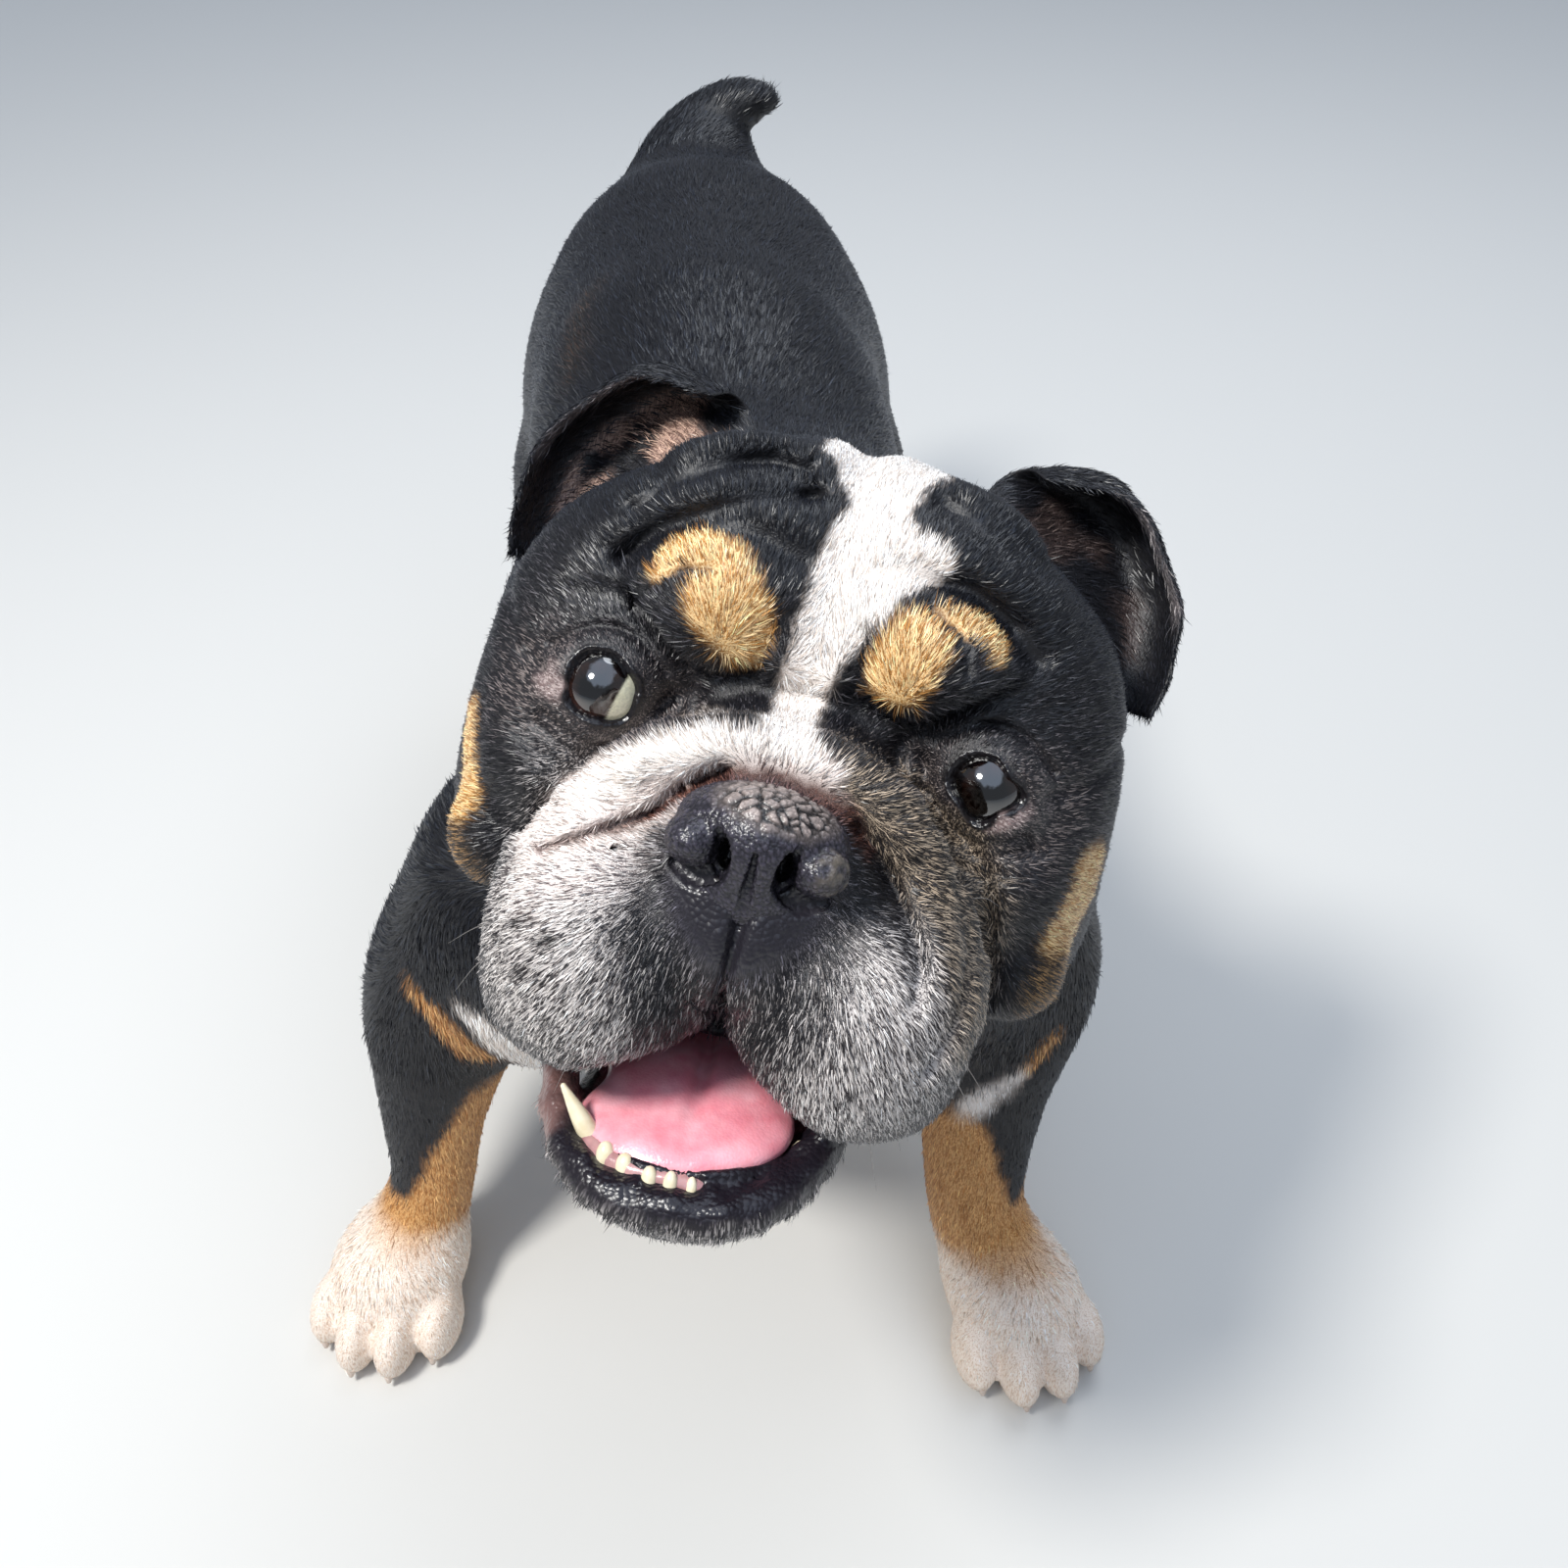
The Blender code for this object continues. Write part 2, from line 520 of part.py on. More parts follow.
def thinned(obj, cell, triangles, spare=None):
    """The object remeshed into one clean closed skin of about that many triangles, most where it bends most.

    spare tells which of some points keep their triangles.
    """
    if cell:
        remesh = obj.modifiers.new("remesh", "REMESH")
        remesh.mode = "VOXEL"
        remesh.voxel_size = cell
        finished(obj)
    thin = obj.modifiers.new("thin", "DECIMATE")
    if spare:
        group = obj.vertex_groups.new(name="thin")
        group.add(np.nonzero(~spare(np.array([v.co for v in obj.data.vertices])))[0].tolist(), 1.0, "REPLACE")
        thin.vertex_group = "thin"
        thin.vertex_group_factor = 1.0
    thin.ratio = triangles / sum(len(face.vertices) - 2 for face in obj.data.polygons)
    thin.use_collapse_triangulate = True
    finished(obj)
    obj.vertex_groups.clear()
    return obj


def clay_object(name, field, place, reach, cell, triangles):
    """An object meshed from a field in a box round place."""
    points, faces = skin_mesh(field, np.array(place) - reach, np.array(place) + reach, cell)
    return thinned(mesh_object(name, settled(field, points, rounds=1), faces), cell * 0.9, triangles)


def grown(obj, amount=0.0):
    """A copy swollen along its normals, to cut with."""
    copy = obj.copy()
    copy.data = obj.data.copy()
    copy.data.vertices.foreach_set(
        "co", np.array([v.co + v.normal * amount for v in obj.data.vertices], np.float32).ravel()
    )
    bpy.context.scene.collection.objects.link(copy)
    return copy


def cut(obj, cutter, operation):
    """The object after an exact Boolean with the cutter, keeping its largest piece."""
    modifier = obj.modifiers.new("cut", "BOOLEAN")
    modifier.operation = operation
    modifier.object = cutter
    finished(obj)
    shape = bmesh.new()
    shape.from_mesh(obj.data)
    bmesh.ops.remove_doubles(shape, verts=shape.verts, dist=1e-6)
    left, pieces = set(shape.verts), []
    while left:
        piece, edge = set(), [next(iter(left))]
        while edge:
            vertex = edge.pop()
            if vertex not in piece:
                piece.add(vertex)
                edge += [e.other_vert(vertex) for e in vertex.link_edges]
        pieces.append(piece)
        left -= piece
    pieces.sort(key=len)
    for piece in pieces[:-1]:
        bmesh.ops.delete(shape, geom=list(piece), context="VERTS")
    bmesh.ops.triangulate(shape, faces=shape.faces)
    shape.to_mesh(obj.data)
    shape.free()
    return obj


def box_cutter(low, high, frame, grow=0.0):
    """A box between two corners in a frame, given as a 4 x 4 matrix."""
    low, high = np.array(low) - grow, np.array(high) + grow
    shape = bmesh.new()
    bmesh.ops.create_cube(shape, size=1.0)
    stretch = Matrix.Translation((low + high) / 2) @ Matrix.Diagonal((*(high - low), 1))
    shape.transform(frame @ stretch)
    return cutter_object(shape)


def cutter_object(shape):
    mesh = bpy.data.meshes.new("cutter")
    shape.to_mesh(mesh)
    shape.free()
    made = bpy.data.objects.new("cutter", mesh)
    bpy.context.scene.collection.objects.link(made)
    return made


def parted(rest, name, kind, *shape):
    """Parts the named piece off the rest, along a cut as wide as the gap."""
    piece = rest.copy()
    piece.data = rest.data.copy()
    piece.name = name
    dog.objects.link(piece)
    inner, outer = kind(*shape), kind(*shape, GAP)
    cut(piece, inner, "INTERSECT")
    cut(rest, outer, "DIFFERENCE")
    for cutter in (inner, outer):
        bpy.data.objects.remove(cutter)
    return piece


def pocket(host, guest, amount=GAP):
    """Cuts room for the guest out of its host."""
    swollen = grown(guest, amount)
    cut(host, swollen, "DIFFERENCE")
    bpy.data.objects.remove(swollen)


def frame_matrix(axes, place):
    """A 4 x 4 matrix from a rotation and a place."""
    matrix = Matrix(np.asarray(axes).tolist()).to_4x4()
    matrix.translation = Vector(place)
    return matrix


for old in list(bpy.data.objects):
    bpy.data.objects.remove(old)
dog = bpy.data.collections.new("english_bulldog")
bpy.context.scene.collection.children.link(dog)

HEAD_FRAME = frame_matrix(head_axes(), HEAD_PLACE)
WORLD_FRAME = Matrix.Identity(4)
jaw_axes = head_axes() @ turned(JAW_TIP)
jaw_place = out_of_head(np.array(JAW_PIVOT) - np.array(JAW_PIVOT) @ turned(JAW_TIP).T)
JAW_FRAME = frame_matrix(jaw_axes, jaw_place)


def into_jaw(points):
    """World points in the jaw's own frame."""
    return (points - jaw_place) @ jaw_axes


def in_head(place):
    return out_of_head([place])[0]


# The flesh, whole at first, with soles flat on the floor
skin_low, skin_high = np.array((-0.22, -0.42, -0.04)), np.array((0.22, 0.36, 0.50))
points, faces = skin_mesh(dog_clay, skin_low, skin_high, SKIN_CELL)
torso = mesh_object("torso", settled(dog_clay, points, rounds=1), faces)
thinned(torso, SKIN_CELL * 0.9, SKIN_TRIANGLES[0])
thinned(torso, None, SKIN_TRIANGLES[1], lambda p: into_head(p)[:, 1] < 0.05)
floor = box_cutter((-0.4, -0.6, -0.2), (0.4, 0.6, FLOOR_CUT), WORLD_FRAME)
cut(torso, floor, "DIFFERENCE")
bpy.data.objects.remove(floor)

# Eyes, nose, tongue and teeth
eyes = []
for side, name in ((1, "eye_left"), (-1, "eye_right")):
    shape = bmesh.new()
    bmesh.ops.create_uvsphere(shape, u_segments=16, v_segments=10, radius=EYE_RADIUS)
    shape.transform(HEAD_FRAME @ Matrix.Translation(np.array(EYE_PLACE) * (side, 1, 1)))
    eye = cutter_object(shape)
    eye.name = name
    bpy.context.scene.collection.objects.unlink(eye)
    dog.objects.link(eye)
    eyes.append(eye)
for_nose = lambda p: nose_clay(into_head(p))
for_tongue = lambda p: tongue_clay(into_jaw(p))
for_teeth = lambda p: teeth_clay(into_jaw(p))
nose = clay_object("nose", for_nose, in_head((0, -0.062, -0.022)), 0.045, 0.0012, 560)
tongue = clay_object("tongue", for_tongue, in_head((0, -0.018, -0.093)), 0.055, 0.0018, 320)
teeth = clay_object("teeth_lower", for_teeth, in_head((0, -0.038, -0.097)), 0.045, 0.0009, 520)
ears = []
for side, name in ((1, "ear_left"), (-1, "ear_right")):
    points, faces = ear_shell(side)
    ears.append(mesh_object(name, out_of_head(points), faces if side == 1 else [f[::-1] for f in faces]))

# The flesh parted
tail_turn = Matrix.Rotation(radians(-48), 4, "X")
TAIL_FRAME = Matrix.Translation((0, 0.258, 0.337)) @ tail_turn
head = parted(torso, "head", box_cutter, (-0.15, -0.14, -0.128), (0.15, 0.088, 0.14), HEAD_FRAME)
neck = parted(torso, "neck", box_cutter, (-0.106, 0.06, -0.124), (0.106, 0.137, 0.14), HEAD_FRAME)
tail = parted(torso, "tail", box_cutter, (-0.07, -0.06, 0.0), (0.07, 0.06, 0.10), TAIL_FRAME)
legs = [
    parted(torso, "leg_front_left", box_cutter, (0.086, -0.34, -0.01), (0.22, -0.10, 0.150), WORLD_FRAME),
    parted(torso, "leg_front_right", box_cutter, (-0.22, -0.34, -0.01), (-0.076, -0.10, 0.150), WORLD_FRAME),
    parted(torso, "leg_hind_left", box_cutter, (0.040, 0.115, -0.01), (0.20, 0.34, 0.180), WORLD_FRAME),
    parted(torso, "leg_hind_right", box_cutter, (-0.20, 0.115, -0.01), (-0.040, 0.34, 0.180), WORLD_FRAME),
]
# The jaw's own clay as far back as the corners of the mouth, a little swollen so that it takes its lips along
jaw_reach = lambda p: np.maximum(jaw_clay(into_jaw(p)) - 0.001, into_jaw(p)[:, 1] - 0.022)
jaw_shape = clay_object("jaw_shape", jaw_reach, in_head((0, -0.02, -0.10)), 0.06, 0.0020, 300)
jaw = parted(head, "lower_jaw", grown, jaw_shape)
bpy.data.objects.remove(jaw_shape)
for guest in (*eyes, nose, tongue, teeth):
    pocket(head, guest)
for ear in ears:
    pocket(head, ear, EAR_GAP)
for guest in (teeth, tongue):
    pocket(jaw, guest)

COLOURS = {
    "torso": ((0.012, 0.012, 0.015), 0.6),
    "neck": ((0.012, 0.012, 0.015), 0.6),
    "head": ((0.020, 0.020, 0.023), 0.6),
    "lower_jaw": ((0.060, 0.055, 0.055), 0.6),
    "tail": ((0.012, 0.012, 0.015), 0.6),
    "leg_front_left": ((0.45, 0.25, 0.12), 0.6),
    "leg_front_right": ((0.45, 0.25, 0.12), 0.6),
    "leg_hind_left": ((0.45, 0.25, 0.12), 0.6),
    "leg_hind_right": ((0.45, 0.25, 0.12), 0.6),
    "ear_left": ((0.015, 0.014, 0.016), 0.6),
    "ear_right": ((0.015, 0.014, 0.016), 0.6),
    "eye_left": ((0.010, 0.006, 0.004), 0.05),
    "eye_right": ((0.010, 0.006, 0.004), 0.05),
    "nose": ((0.030, 0.030, 0.036), 0.45),
    "tongue": ((0.65, 0.22, 0.25), 0.25),
    "teeth_lower": ((0.75, 0.68, 0.52), 0.25),
}
for obj in dog.objects:
    obj.data.transform(Matrix.Translation(RECENTRE))
    colour, roughness = COLOURS[obj.name]
    material = bpy.data.materials.new(obj.name)
    material.use_nodes = True
    shader = material.node_tree.nodes["Principled BSDF"]
    shader.inputs["Base Color"].default_value = (*colour, 1)
    shader.inputs["Roughness"].default_value = roughness
    obj.data.materials.clear()
    obj.data.materials.append(material)
    obj.data.shade_smooth()
    obj.data.set_sharp_from_angle(angle=radians(40))
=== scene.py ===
"""An English bulldog as a life-size museum model: it stands, looks up, tips its head and opens its mouth.

The sections follow the animal from the flesh outwards: the skin drawn over all of it, the coat on the skin,
then ears, eyes, nose, mouth, claws and whiskers, and last the floor, the lights and the camera.
Metres, +Z up, the dog faces -Y, and its left side is +X.
"""

from math import cos, pi, radians, sin

import bpy
import numpy as np
from mathutils import Matrix, Vector


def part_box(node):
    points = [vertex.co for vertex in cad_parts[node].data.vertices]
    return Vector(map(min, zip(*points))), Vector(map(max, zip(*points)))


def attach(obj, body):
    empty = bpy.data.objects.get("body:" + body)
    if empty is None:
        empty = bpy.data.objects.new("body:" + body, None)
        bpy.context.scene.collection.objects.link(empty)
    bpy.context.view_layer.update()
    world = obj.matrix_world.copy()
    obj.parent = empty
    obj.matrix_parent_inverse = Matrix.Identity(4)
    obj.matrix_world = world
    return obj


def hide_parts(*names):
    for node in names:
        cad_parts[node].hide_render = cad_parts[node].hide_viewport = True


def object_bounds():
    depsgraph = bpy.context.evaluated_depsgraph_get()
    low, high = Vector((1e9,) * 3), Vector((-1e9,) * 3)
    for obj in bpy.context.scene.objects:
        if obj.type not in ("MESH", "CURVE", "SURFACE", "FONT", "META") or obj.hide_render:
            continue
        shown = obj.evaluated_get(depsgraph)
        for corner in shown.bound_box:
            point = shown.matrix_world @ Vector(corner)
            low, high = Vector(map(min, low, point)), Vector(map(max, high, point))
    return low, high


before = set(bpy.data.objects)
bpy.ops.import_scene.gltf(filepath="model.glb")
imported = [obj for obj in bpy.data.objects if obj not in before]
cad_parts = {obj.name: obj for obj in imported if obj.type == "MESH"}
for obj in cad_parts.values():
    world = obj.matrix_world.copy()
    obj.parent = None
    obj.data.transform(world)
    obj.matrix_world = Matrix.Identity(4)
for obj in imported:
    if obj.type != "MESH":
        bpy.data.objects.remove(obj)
cad_bounds = [list(corner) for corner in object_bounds()]

# The stance. The eyes say where the head is: it is rolled about its nose, lifted to look up and turned to the
# dog's right. The body was modelled in a frame of its own, whose middle lies a little off this one's.
HEAD_TURN = (33.9, 12.1, -6.8)
EYE_APART = 0.105
EYE_PLACE = np.array((EYE_APART / 2, 0.0015, 0.0020))
BODY_SHIFT = np.array((0.012, 0.038, -0.0015))
SHOULDER_SHIFT = 0.011


def turned(degrees_xyz):
    """The matrix that turns about X, then Y, then Z."""
    x, y, z = (radians(angle) for angle in degrees_xyz)
    about_x = np.array([[1, 0, 0], [0, cos(x), -sin(x)], [0, sin(x), cos(x)]])
    about_y = np.array([[cos(y), 0, sin(y)], [0, 1, 0], [-sin(y), 0, cos(y)]])
    about_z = np.array([[cos(z), -sin(z), 0], [sin(z), cos(z), 0], [0, 0, 1]])
    return about_z @ about_y @ about_x


def middle(node):
    """The centre of a part's box."""
    low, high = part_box(node)
    return np.array((low + high) / 2)


HEAD_AXES = turned((0, 0, HEAD_TURN[2])) @ turned((-HEAD_TURN[0], 0, 0)) @ turned((0, HEAD_TURN[1], 0))
HEAD_PLACE = (middle("eye_left") + middle("eye_right")) / 2 - HEAD_AXES @ (EYE_PLACE * (0, 1, 1))


def into_head(points):
    """Points in the head's own frame: origin midway between the eyes, -Y out of the face, +Z up the forehead."""
    return (points - HEAD_PLACE) @ HEAD_AXES


def out_of_head(points):
    """Head-frame points back in the world."""
    return np.asarray(points) @ HEAD_AXES.T + HEAD_PLACE


# The flesh, built up as a clay model is. Each mass is an ellipsoid that melts into the rest, limbs follow smooth
# paths, and wrinkles are creases pressed in from the front. Everything is a distance, worked out for whole arrays
# of points at once.
FAR = 0.1
PAD = 0.055


def mirrored(points, centre=0.0):
    """Points folded onto the left half, so that one mass serves both sides."""
    folded = points.copy()
    folded[:, 0] = np.abs(folded[:, 0] - centre)
    return folded


def eased(share):
    """From 0 to 1 with a smooth start and end."""
    share = np.clip(share, 0.0, 1.0)
    return share * share * (3 - 2 * share)


def melt(a, b, blend):
    """The union of two distances, rounded where they meet over a width of blend."""
    share = np.clip(0.5 + 0.5 * (b - a) / blend, 0.0, 1.0)
    return b + (a - b) * share - blend * share * (1.0 - share)


def press(a, b, blend):
    """Distance a with shape b pressed out of it."""
    return -melt(-a, b, blend)


def ellipsoid(points, centre, radii, turn=(0, 0, 0)):
    """Distance to an ellipsoid: length times (length - 1) over the slope, in coordinates scaled by the radii."""
    local = (points - np.array(centre)) @ turned(turn) / np.array(radii)
    length = np.linalg.norm(local, axis=1)
    slope = np.linalg.norm(local / np.array(radii), axis=1)
    return length * (length - 1.0) / np.maximum(slope, 1e-9)


def smooth_path(points, radii, steps=8):
    """A Catmull-Rom curve through the points, with radii to match."""
    knots = np.column_stack([points, radii]).astype(float)
    padded = np.vstack([2 * knots[0] - knots[1], knots, 2 * knots[-1] - knots[-2]])
    a, b, c, d = (padded[i : len(padded) - 3 + i, None] for i in range(4))
    t = (np.arange(steps) / steps)[None, :, None]
    square, cube = 2 * a - 5 * b + 4 * c - d, 3 * b - a - 3 * c + d
    rows = 0.5 * (2 * b + (c - a) * t + square * t**2 + cube * t**3)
    rows = np.vstack([rows.reshape(-1, knots.shape[1]), knots[-1]])
    return rows[:, :3], rows[:, 3]


def limb(points, path, radii, squash=(1, 1, 1), steps=8):
    """Distance to a tube along the path whose radius changes on the way. squash widens it along the axes."""
    line, thick = smooth_path(path, radii, steps)
    scale = np.array(squash, float)
    line, points = line / scale, points / scale
    found = np.full(len(points), FAR)
    for a, b, ra, rb in zip(line[:-1], line[1:], thick[:-1], thick[1:]):
        run = b - a
        t = np.clip((points - a) @ run / (run @ run), 0.0, 1.0)
        away = np.linalg.norm(points - a - t[:, None] * run, axis=1)
        found = np.minimum(found, away - ra - t * (rb - ra))
    return found


class Clay:
    """Distances at some points to what has been built so far."""

    def __init__(self, points, depth=None):
        self.points = points
        self.depth = np.full(len(points), FAR) if depth is None else depth

    def near(self, places, reach):
        places = np.atleast_2d(places)
        low, high = places.min(0) - reach - PAD, places.max(0) + reach + PAD
        return ((self.points > low) & (self.points < high)).all(1)

    def change(self, near, how, shape, *size, blend):
        if near.any():
            self.depth[near] = how(self.depth[near], shape(self.points[near], *size), blend)

    def mass(self, centre, radii, turn, blend):
        self.change(self.near(centre, max(radii)), melt, ellipsoid, centre, radii, turn, blend=blend)

    def hollow(self, centre, radii, turn, blend):
        self.change(self.near(centre, max(radii)), press, ellipsoid, centre, radii, turn, blend=blend)

    def limb(self, path, radii, blend, squash=(1, 1, 1)):
        near = self.near(path, max(radii) * max(squash))
        self.change(near, melt, limb, path, radii, squash, blend=blend)

    def channel(self, path, radii, blend):
        self.change(self.near(path, max(radii)), press, limb, path, radii, blend=blend)

    def crease(self, path, width, height):
        """A fold seen from the front of the head, as a bell-shaped ridge if height is above 0, or a groove."""
        flat = np.array(path)
        low, high = flat.min(0) - 4 * width, flat.max(0) + 4 * width
        seen = self.points[:, [0, 2]]
        near = (self.points[:, 1] < 0.095) & ((seen > low) & (seen < high)).all(1)
        if near.any():
            fade = np.clip((0.095 - self.points[near, 1]) / 0.03, 0.0, 1.0)
            line = np.insert(flat, 1, 0, axis=1)
            away = limb(self.points[near] * (1, 0, 1), line, np.zeros(len(flat)), steps=4)
            self.depth[near] -= height * fade * np.exp(-((away / width) ** 2))


# Name, centre, radii, turn about X, Y and Z, and the width over which it melts in. The centres give the left side.
BODY_MASSES = (
    ("rib cage", (0.000, -0.055, 0.232), (0.088, 0.150, 0.116), (5, 0, 0), 0.02),
    ("barrel", (0.000, -0.050, 0.196), (0.098, 0.130, 0.085), (5, 0, 0), 0.03),
    ("brisket", (0.000, -0.158, 0.182), (0.084, 0.066, 0.084), (0, 0, 0), 0.04),
    ("shoulder", (0.085, -0.146, 0.186), (0.043, 0.062, 0.068), (-12, 0, 0), 0.03),
    ("withers", (0.000, -0.110, 0.296), (0.066, 0.090, 0.064), (0, 0, 0), 0.04),
    ("loin", (0.000, 0.070, 0.276), (0.086, 0.130, 0.094), (-4, 0, 0), 0.04),
    ("belly", (0.000, 0.045, 0.195), (0.078, 0.125, 0.060), (8, 0, 0), 0.03),
    ("rump", (0.000, 0.172, 0.270), (0.090, 0.100, 0.094), (-14, 0, 0), 0.04),
    ("croup", (0.000, 0.208, 0.300), (0.060, 0.058, 0.056), (0, 0, 0), 0.04),
    ("thigh", (0.060, 0.188, 0.198), (0.042, 0.078, 0.100), (14, 0, 0), 0.03),
)
HEAD_MASSES = (
    ("cranium", (0.000, 0.060, 0.025), (0.075, 0.074, 0.061), (0, 0, 0), 0.01),
    ("forehead", (0.028, 0.024, 0.040), (0.037, 0.034, 0.038), (0, 0, 0), 0.012),
    ("temple", (0.058, 0.046, 0.020), (0.033, 0.044, 0.038), (0, 0, 0), 0.015),
    ("brow", (0.031, -0.002, 0.029), (0.021, 0.017, 0.018), (0, 0, 0), 0.006),
    ("cheek", (0.063, 0.048, -0.018), (0.034, 0.046, 0.044), (0, 0, 0), 0.02),
    ("cheekbone", (0.053, 0.016, -0.020), (0.026, 0.022, 0.022), (0, 0, 0), 0.012),
    ("bridge", (0.000, -0.014, -0.014), (0.036, 0.034, 0.022), (0, 0, 0), 0.010),
    ("muzzle", (0.000, -0.012, -0.036), (0.054, 0.048, 0.040), (0, 0, 0), 0.012),
    ("flew", (0.032, -0.033, -0.054), (0.031, 0.034, 0.036), (0, 0, -14), 0.007),
    ("nose bed", (0.000, -0.045, -0.024), (0.030, 0.020, 0.020), (0, 0, 0), 0.008),
    ("hanging lip", (0.043, -0.019, -0.070), (0.020, 0.028, 0.021), (0, 0, 0), 0.008),
    ("throat", (0.000, 0.045, -0.072), (0.054, 0.056, 0.036), (0, 0, 0), 0.020),
    ("jaw hinge", (0.046, 0.030, -0.076), (0.022, 0.040, 0.022), (0, 0, 0), 0.015),
    ("dewlap", (0.012, 0.078, -0.080), (0.042, 0.050, 0.038), (0, 0, 0), 0.020),
    ("nape", (0.020, 0.108, 0.046), (0.044, 0.036, 0.040), (0, 0, 0), 0.012),
    ("cheek lobe", (0.075, 0.030, -0.049), (0.017, 0.020, 0.017), (0, 0, 0), 0.008),
    ("cheek fold", (0.081, 0.056, -0.028), (0.017, 0.022, 0.034), (0, -12, 0), 0.008),
    ("lid mound", (0.0525, 0.0030, 0.002), (0.0175, 0.0162, 0.0160), (0, 0, 0), 0.008),
)
JAW_TIP = (0, -7, 0)
JAW_PIVOT = np.array((0.000, 0.000, -0.100))
JAW_MASSES = (
    ("jaw", (0.000, -0.008, -0.104), (0.035, 0.047, 0.0150), (-6, 0, 0), 0.010),
    ("chin", (0.000, -0.041, -0.1140), (0.023, 0.016, 0.0085), (0, 0, 0), 0.006),
    ("under jaw", (0.000, 0.030, -0.092), (0.038, 0.044, 0.0200), (-14, 0, 0), 0.015),
)
LOWER_LIP_PATH = (
    (0.000, -0.0545, -0.1105),
    (0.014, -0.0525, -0.1100),
    (0.026, -0.0440, -0.1060),
    (0.034, -0.0280, -0.0980),
    (0.0385, -0.0080, -0.0900),
)
LOWER_LIP_RADII = (0.0065, 0.0065, 0.0062, 0.0060, 0.0055)
NOSE_ROLL_PATH = (
    (0.000, -0.0430, 0.0010),
    (0.014, -0.0440, 0.0005),
    (0.030, -0.0420, -0.0070),
    (0.044, -0.0360, -0.0190),
    (0.0545, -0.0270, -0.0350),
    (0.0600, -0.0170, -0.0540),
    (0.0600, -0.0110, -0.0680),
)
NOSE_ROLL_RADII = (0.0092, 0.0095, 0.0095, 0.0090, 0.0080, 0.0070, 0.0055)
# Path as seen from the front (x, z), half width, and height above the face or depth below it.
FACE_FOLDS = (
    (((0.000, 0.090), (0.000, 0.055), (0.000, 0.014)), 0.0070, -0.0035),
    (((0.000, 0.0135), (0.022, 0.0110), (0.037, 0.0010), (0.050, -0.0160), (0.0600, -0.034)), 0.0038, -0.0035),
    (((0.010, 0.046), (0.024, 0.0500), (0.042, 0.046), (0.056, 0.036)), 0.0040, -0.0030),
    (((0.012, 0.064), (0.030, 0.0680), (0.052, 0.060)), 0.0050, -0.0030),
    (((0.012, 0.028), (0.014, 0.012), (0.024, 0.004)), 0.0040, -0.0020),
    (((0.000, -0.030), (0.000, -0.050), (0.000, -0.075)), 0.0022, -0.0050),
    (((0.018, -0.0190), (0.032, -0.0240), (0.043, -0.0380)), 0.0030, -0.0018),
    (((0.038, -0.0125), (0.052, -0.0165), (0.066, -0.0120)), 0.0030, -0.0015),
)
LID_OPENING = ((0.0525, -0.0140, 0.0020), (0.0098, 0.0140, 0.0090))
LID_CORNERS = ((0.0415, -0.0135, -0.0005), (0.0525, -0.0160, 0.0010), (0.0640, -0.0110, 0.0005))
MOUTH = ((0.0, -0.034, -0.0945), (0.031, 0.044, 0.0190))
JAW_FLOOR = ((0.0, -0.021, -0.0930), (0.029, 0.034, 0.0130))


def into_jaw(local):
    """Head-frame points in the jaw's own frame, which hangs open and tips a little down on its right."""
    return (local - JAW_PIVOT) @ turned(JAW_TIP) + JAW_PIVOT


def out_of_jaw(points):
    """Jaw-frame points in the head's frame."""
    return (np.asarray(points) - JAW_PIVOT) @ turned(JAW_TIP).T + JAW_PIVOT


def head_clay(local):
    """Distances to the head and jaw, in the head's frame."""
    upper = Clay(mirrored(local))
    for _, centre, radii, turn, blend in HEAD_MASSES:
        upper.mass(centre, radii, turn, blend)
    upper.limb(NOSE_ROLL_PATH, NOSE_ROLL_RADII, 0.004)
    for path, width, height in FACE_FOLDS:
        upper.crease(path, width, height)
    upper.hollow(*LID_OPENING, (0, 0, 0), 0.0015)
    upper.channel(LID_CORNERS, (0.0012, 0.0040, 0.0012), 0.0015)
    upper.hollow(*MOUTH, (0, 0, 0), 0.006)
    jaw = Clay(mirrored(into_jaw(local)))
    for _, centre, radii, turn, blend in JAW_MASSES:
        jaw.mass(centre, radii, turn, blend)
    jaw.limb(LOWER_LIP_PATH, LOWER_LIP_RADII, 0.003)
    jaw.hollow(*JAW_FLOOR, (4, 0, 0), 0.004)
    return melt(upper.depth, jaw.depth, 0.004)


PAW_PAD = ((0, 0.002, 0.024), (0.030, 0.032, 0.026))
TOES = ((-0.0245, 0.020), (-0.0085, 0.031), (0.0085, 0.031), (0.0245, 0.020))
TOE_RADII = (0.0098, 0.0175, 0.0165)
TOE_HEIGHT = 0.0155


def on_paw(place, heading, size, across, ahead, up):
    """A point on a paw, told by how far it lies across, ahead and up."""
    return np.array(place) + turned((0, 0, heading)) @ np.array((across, -ahead, up)) * size


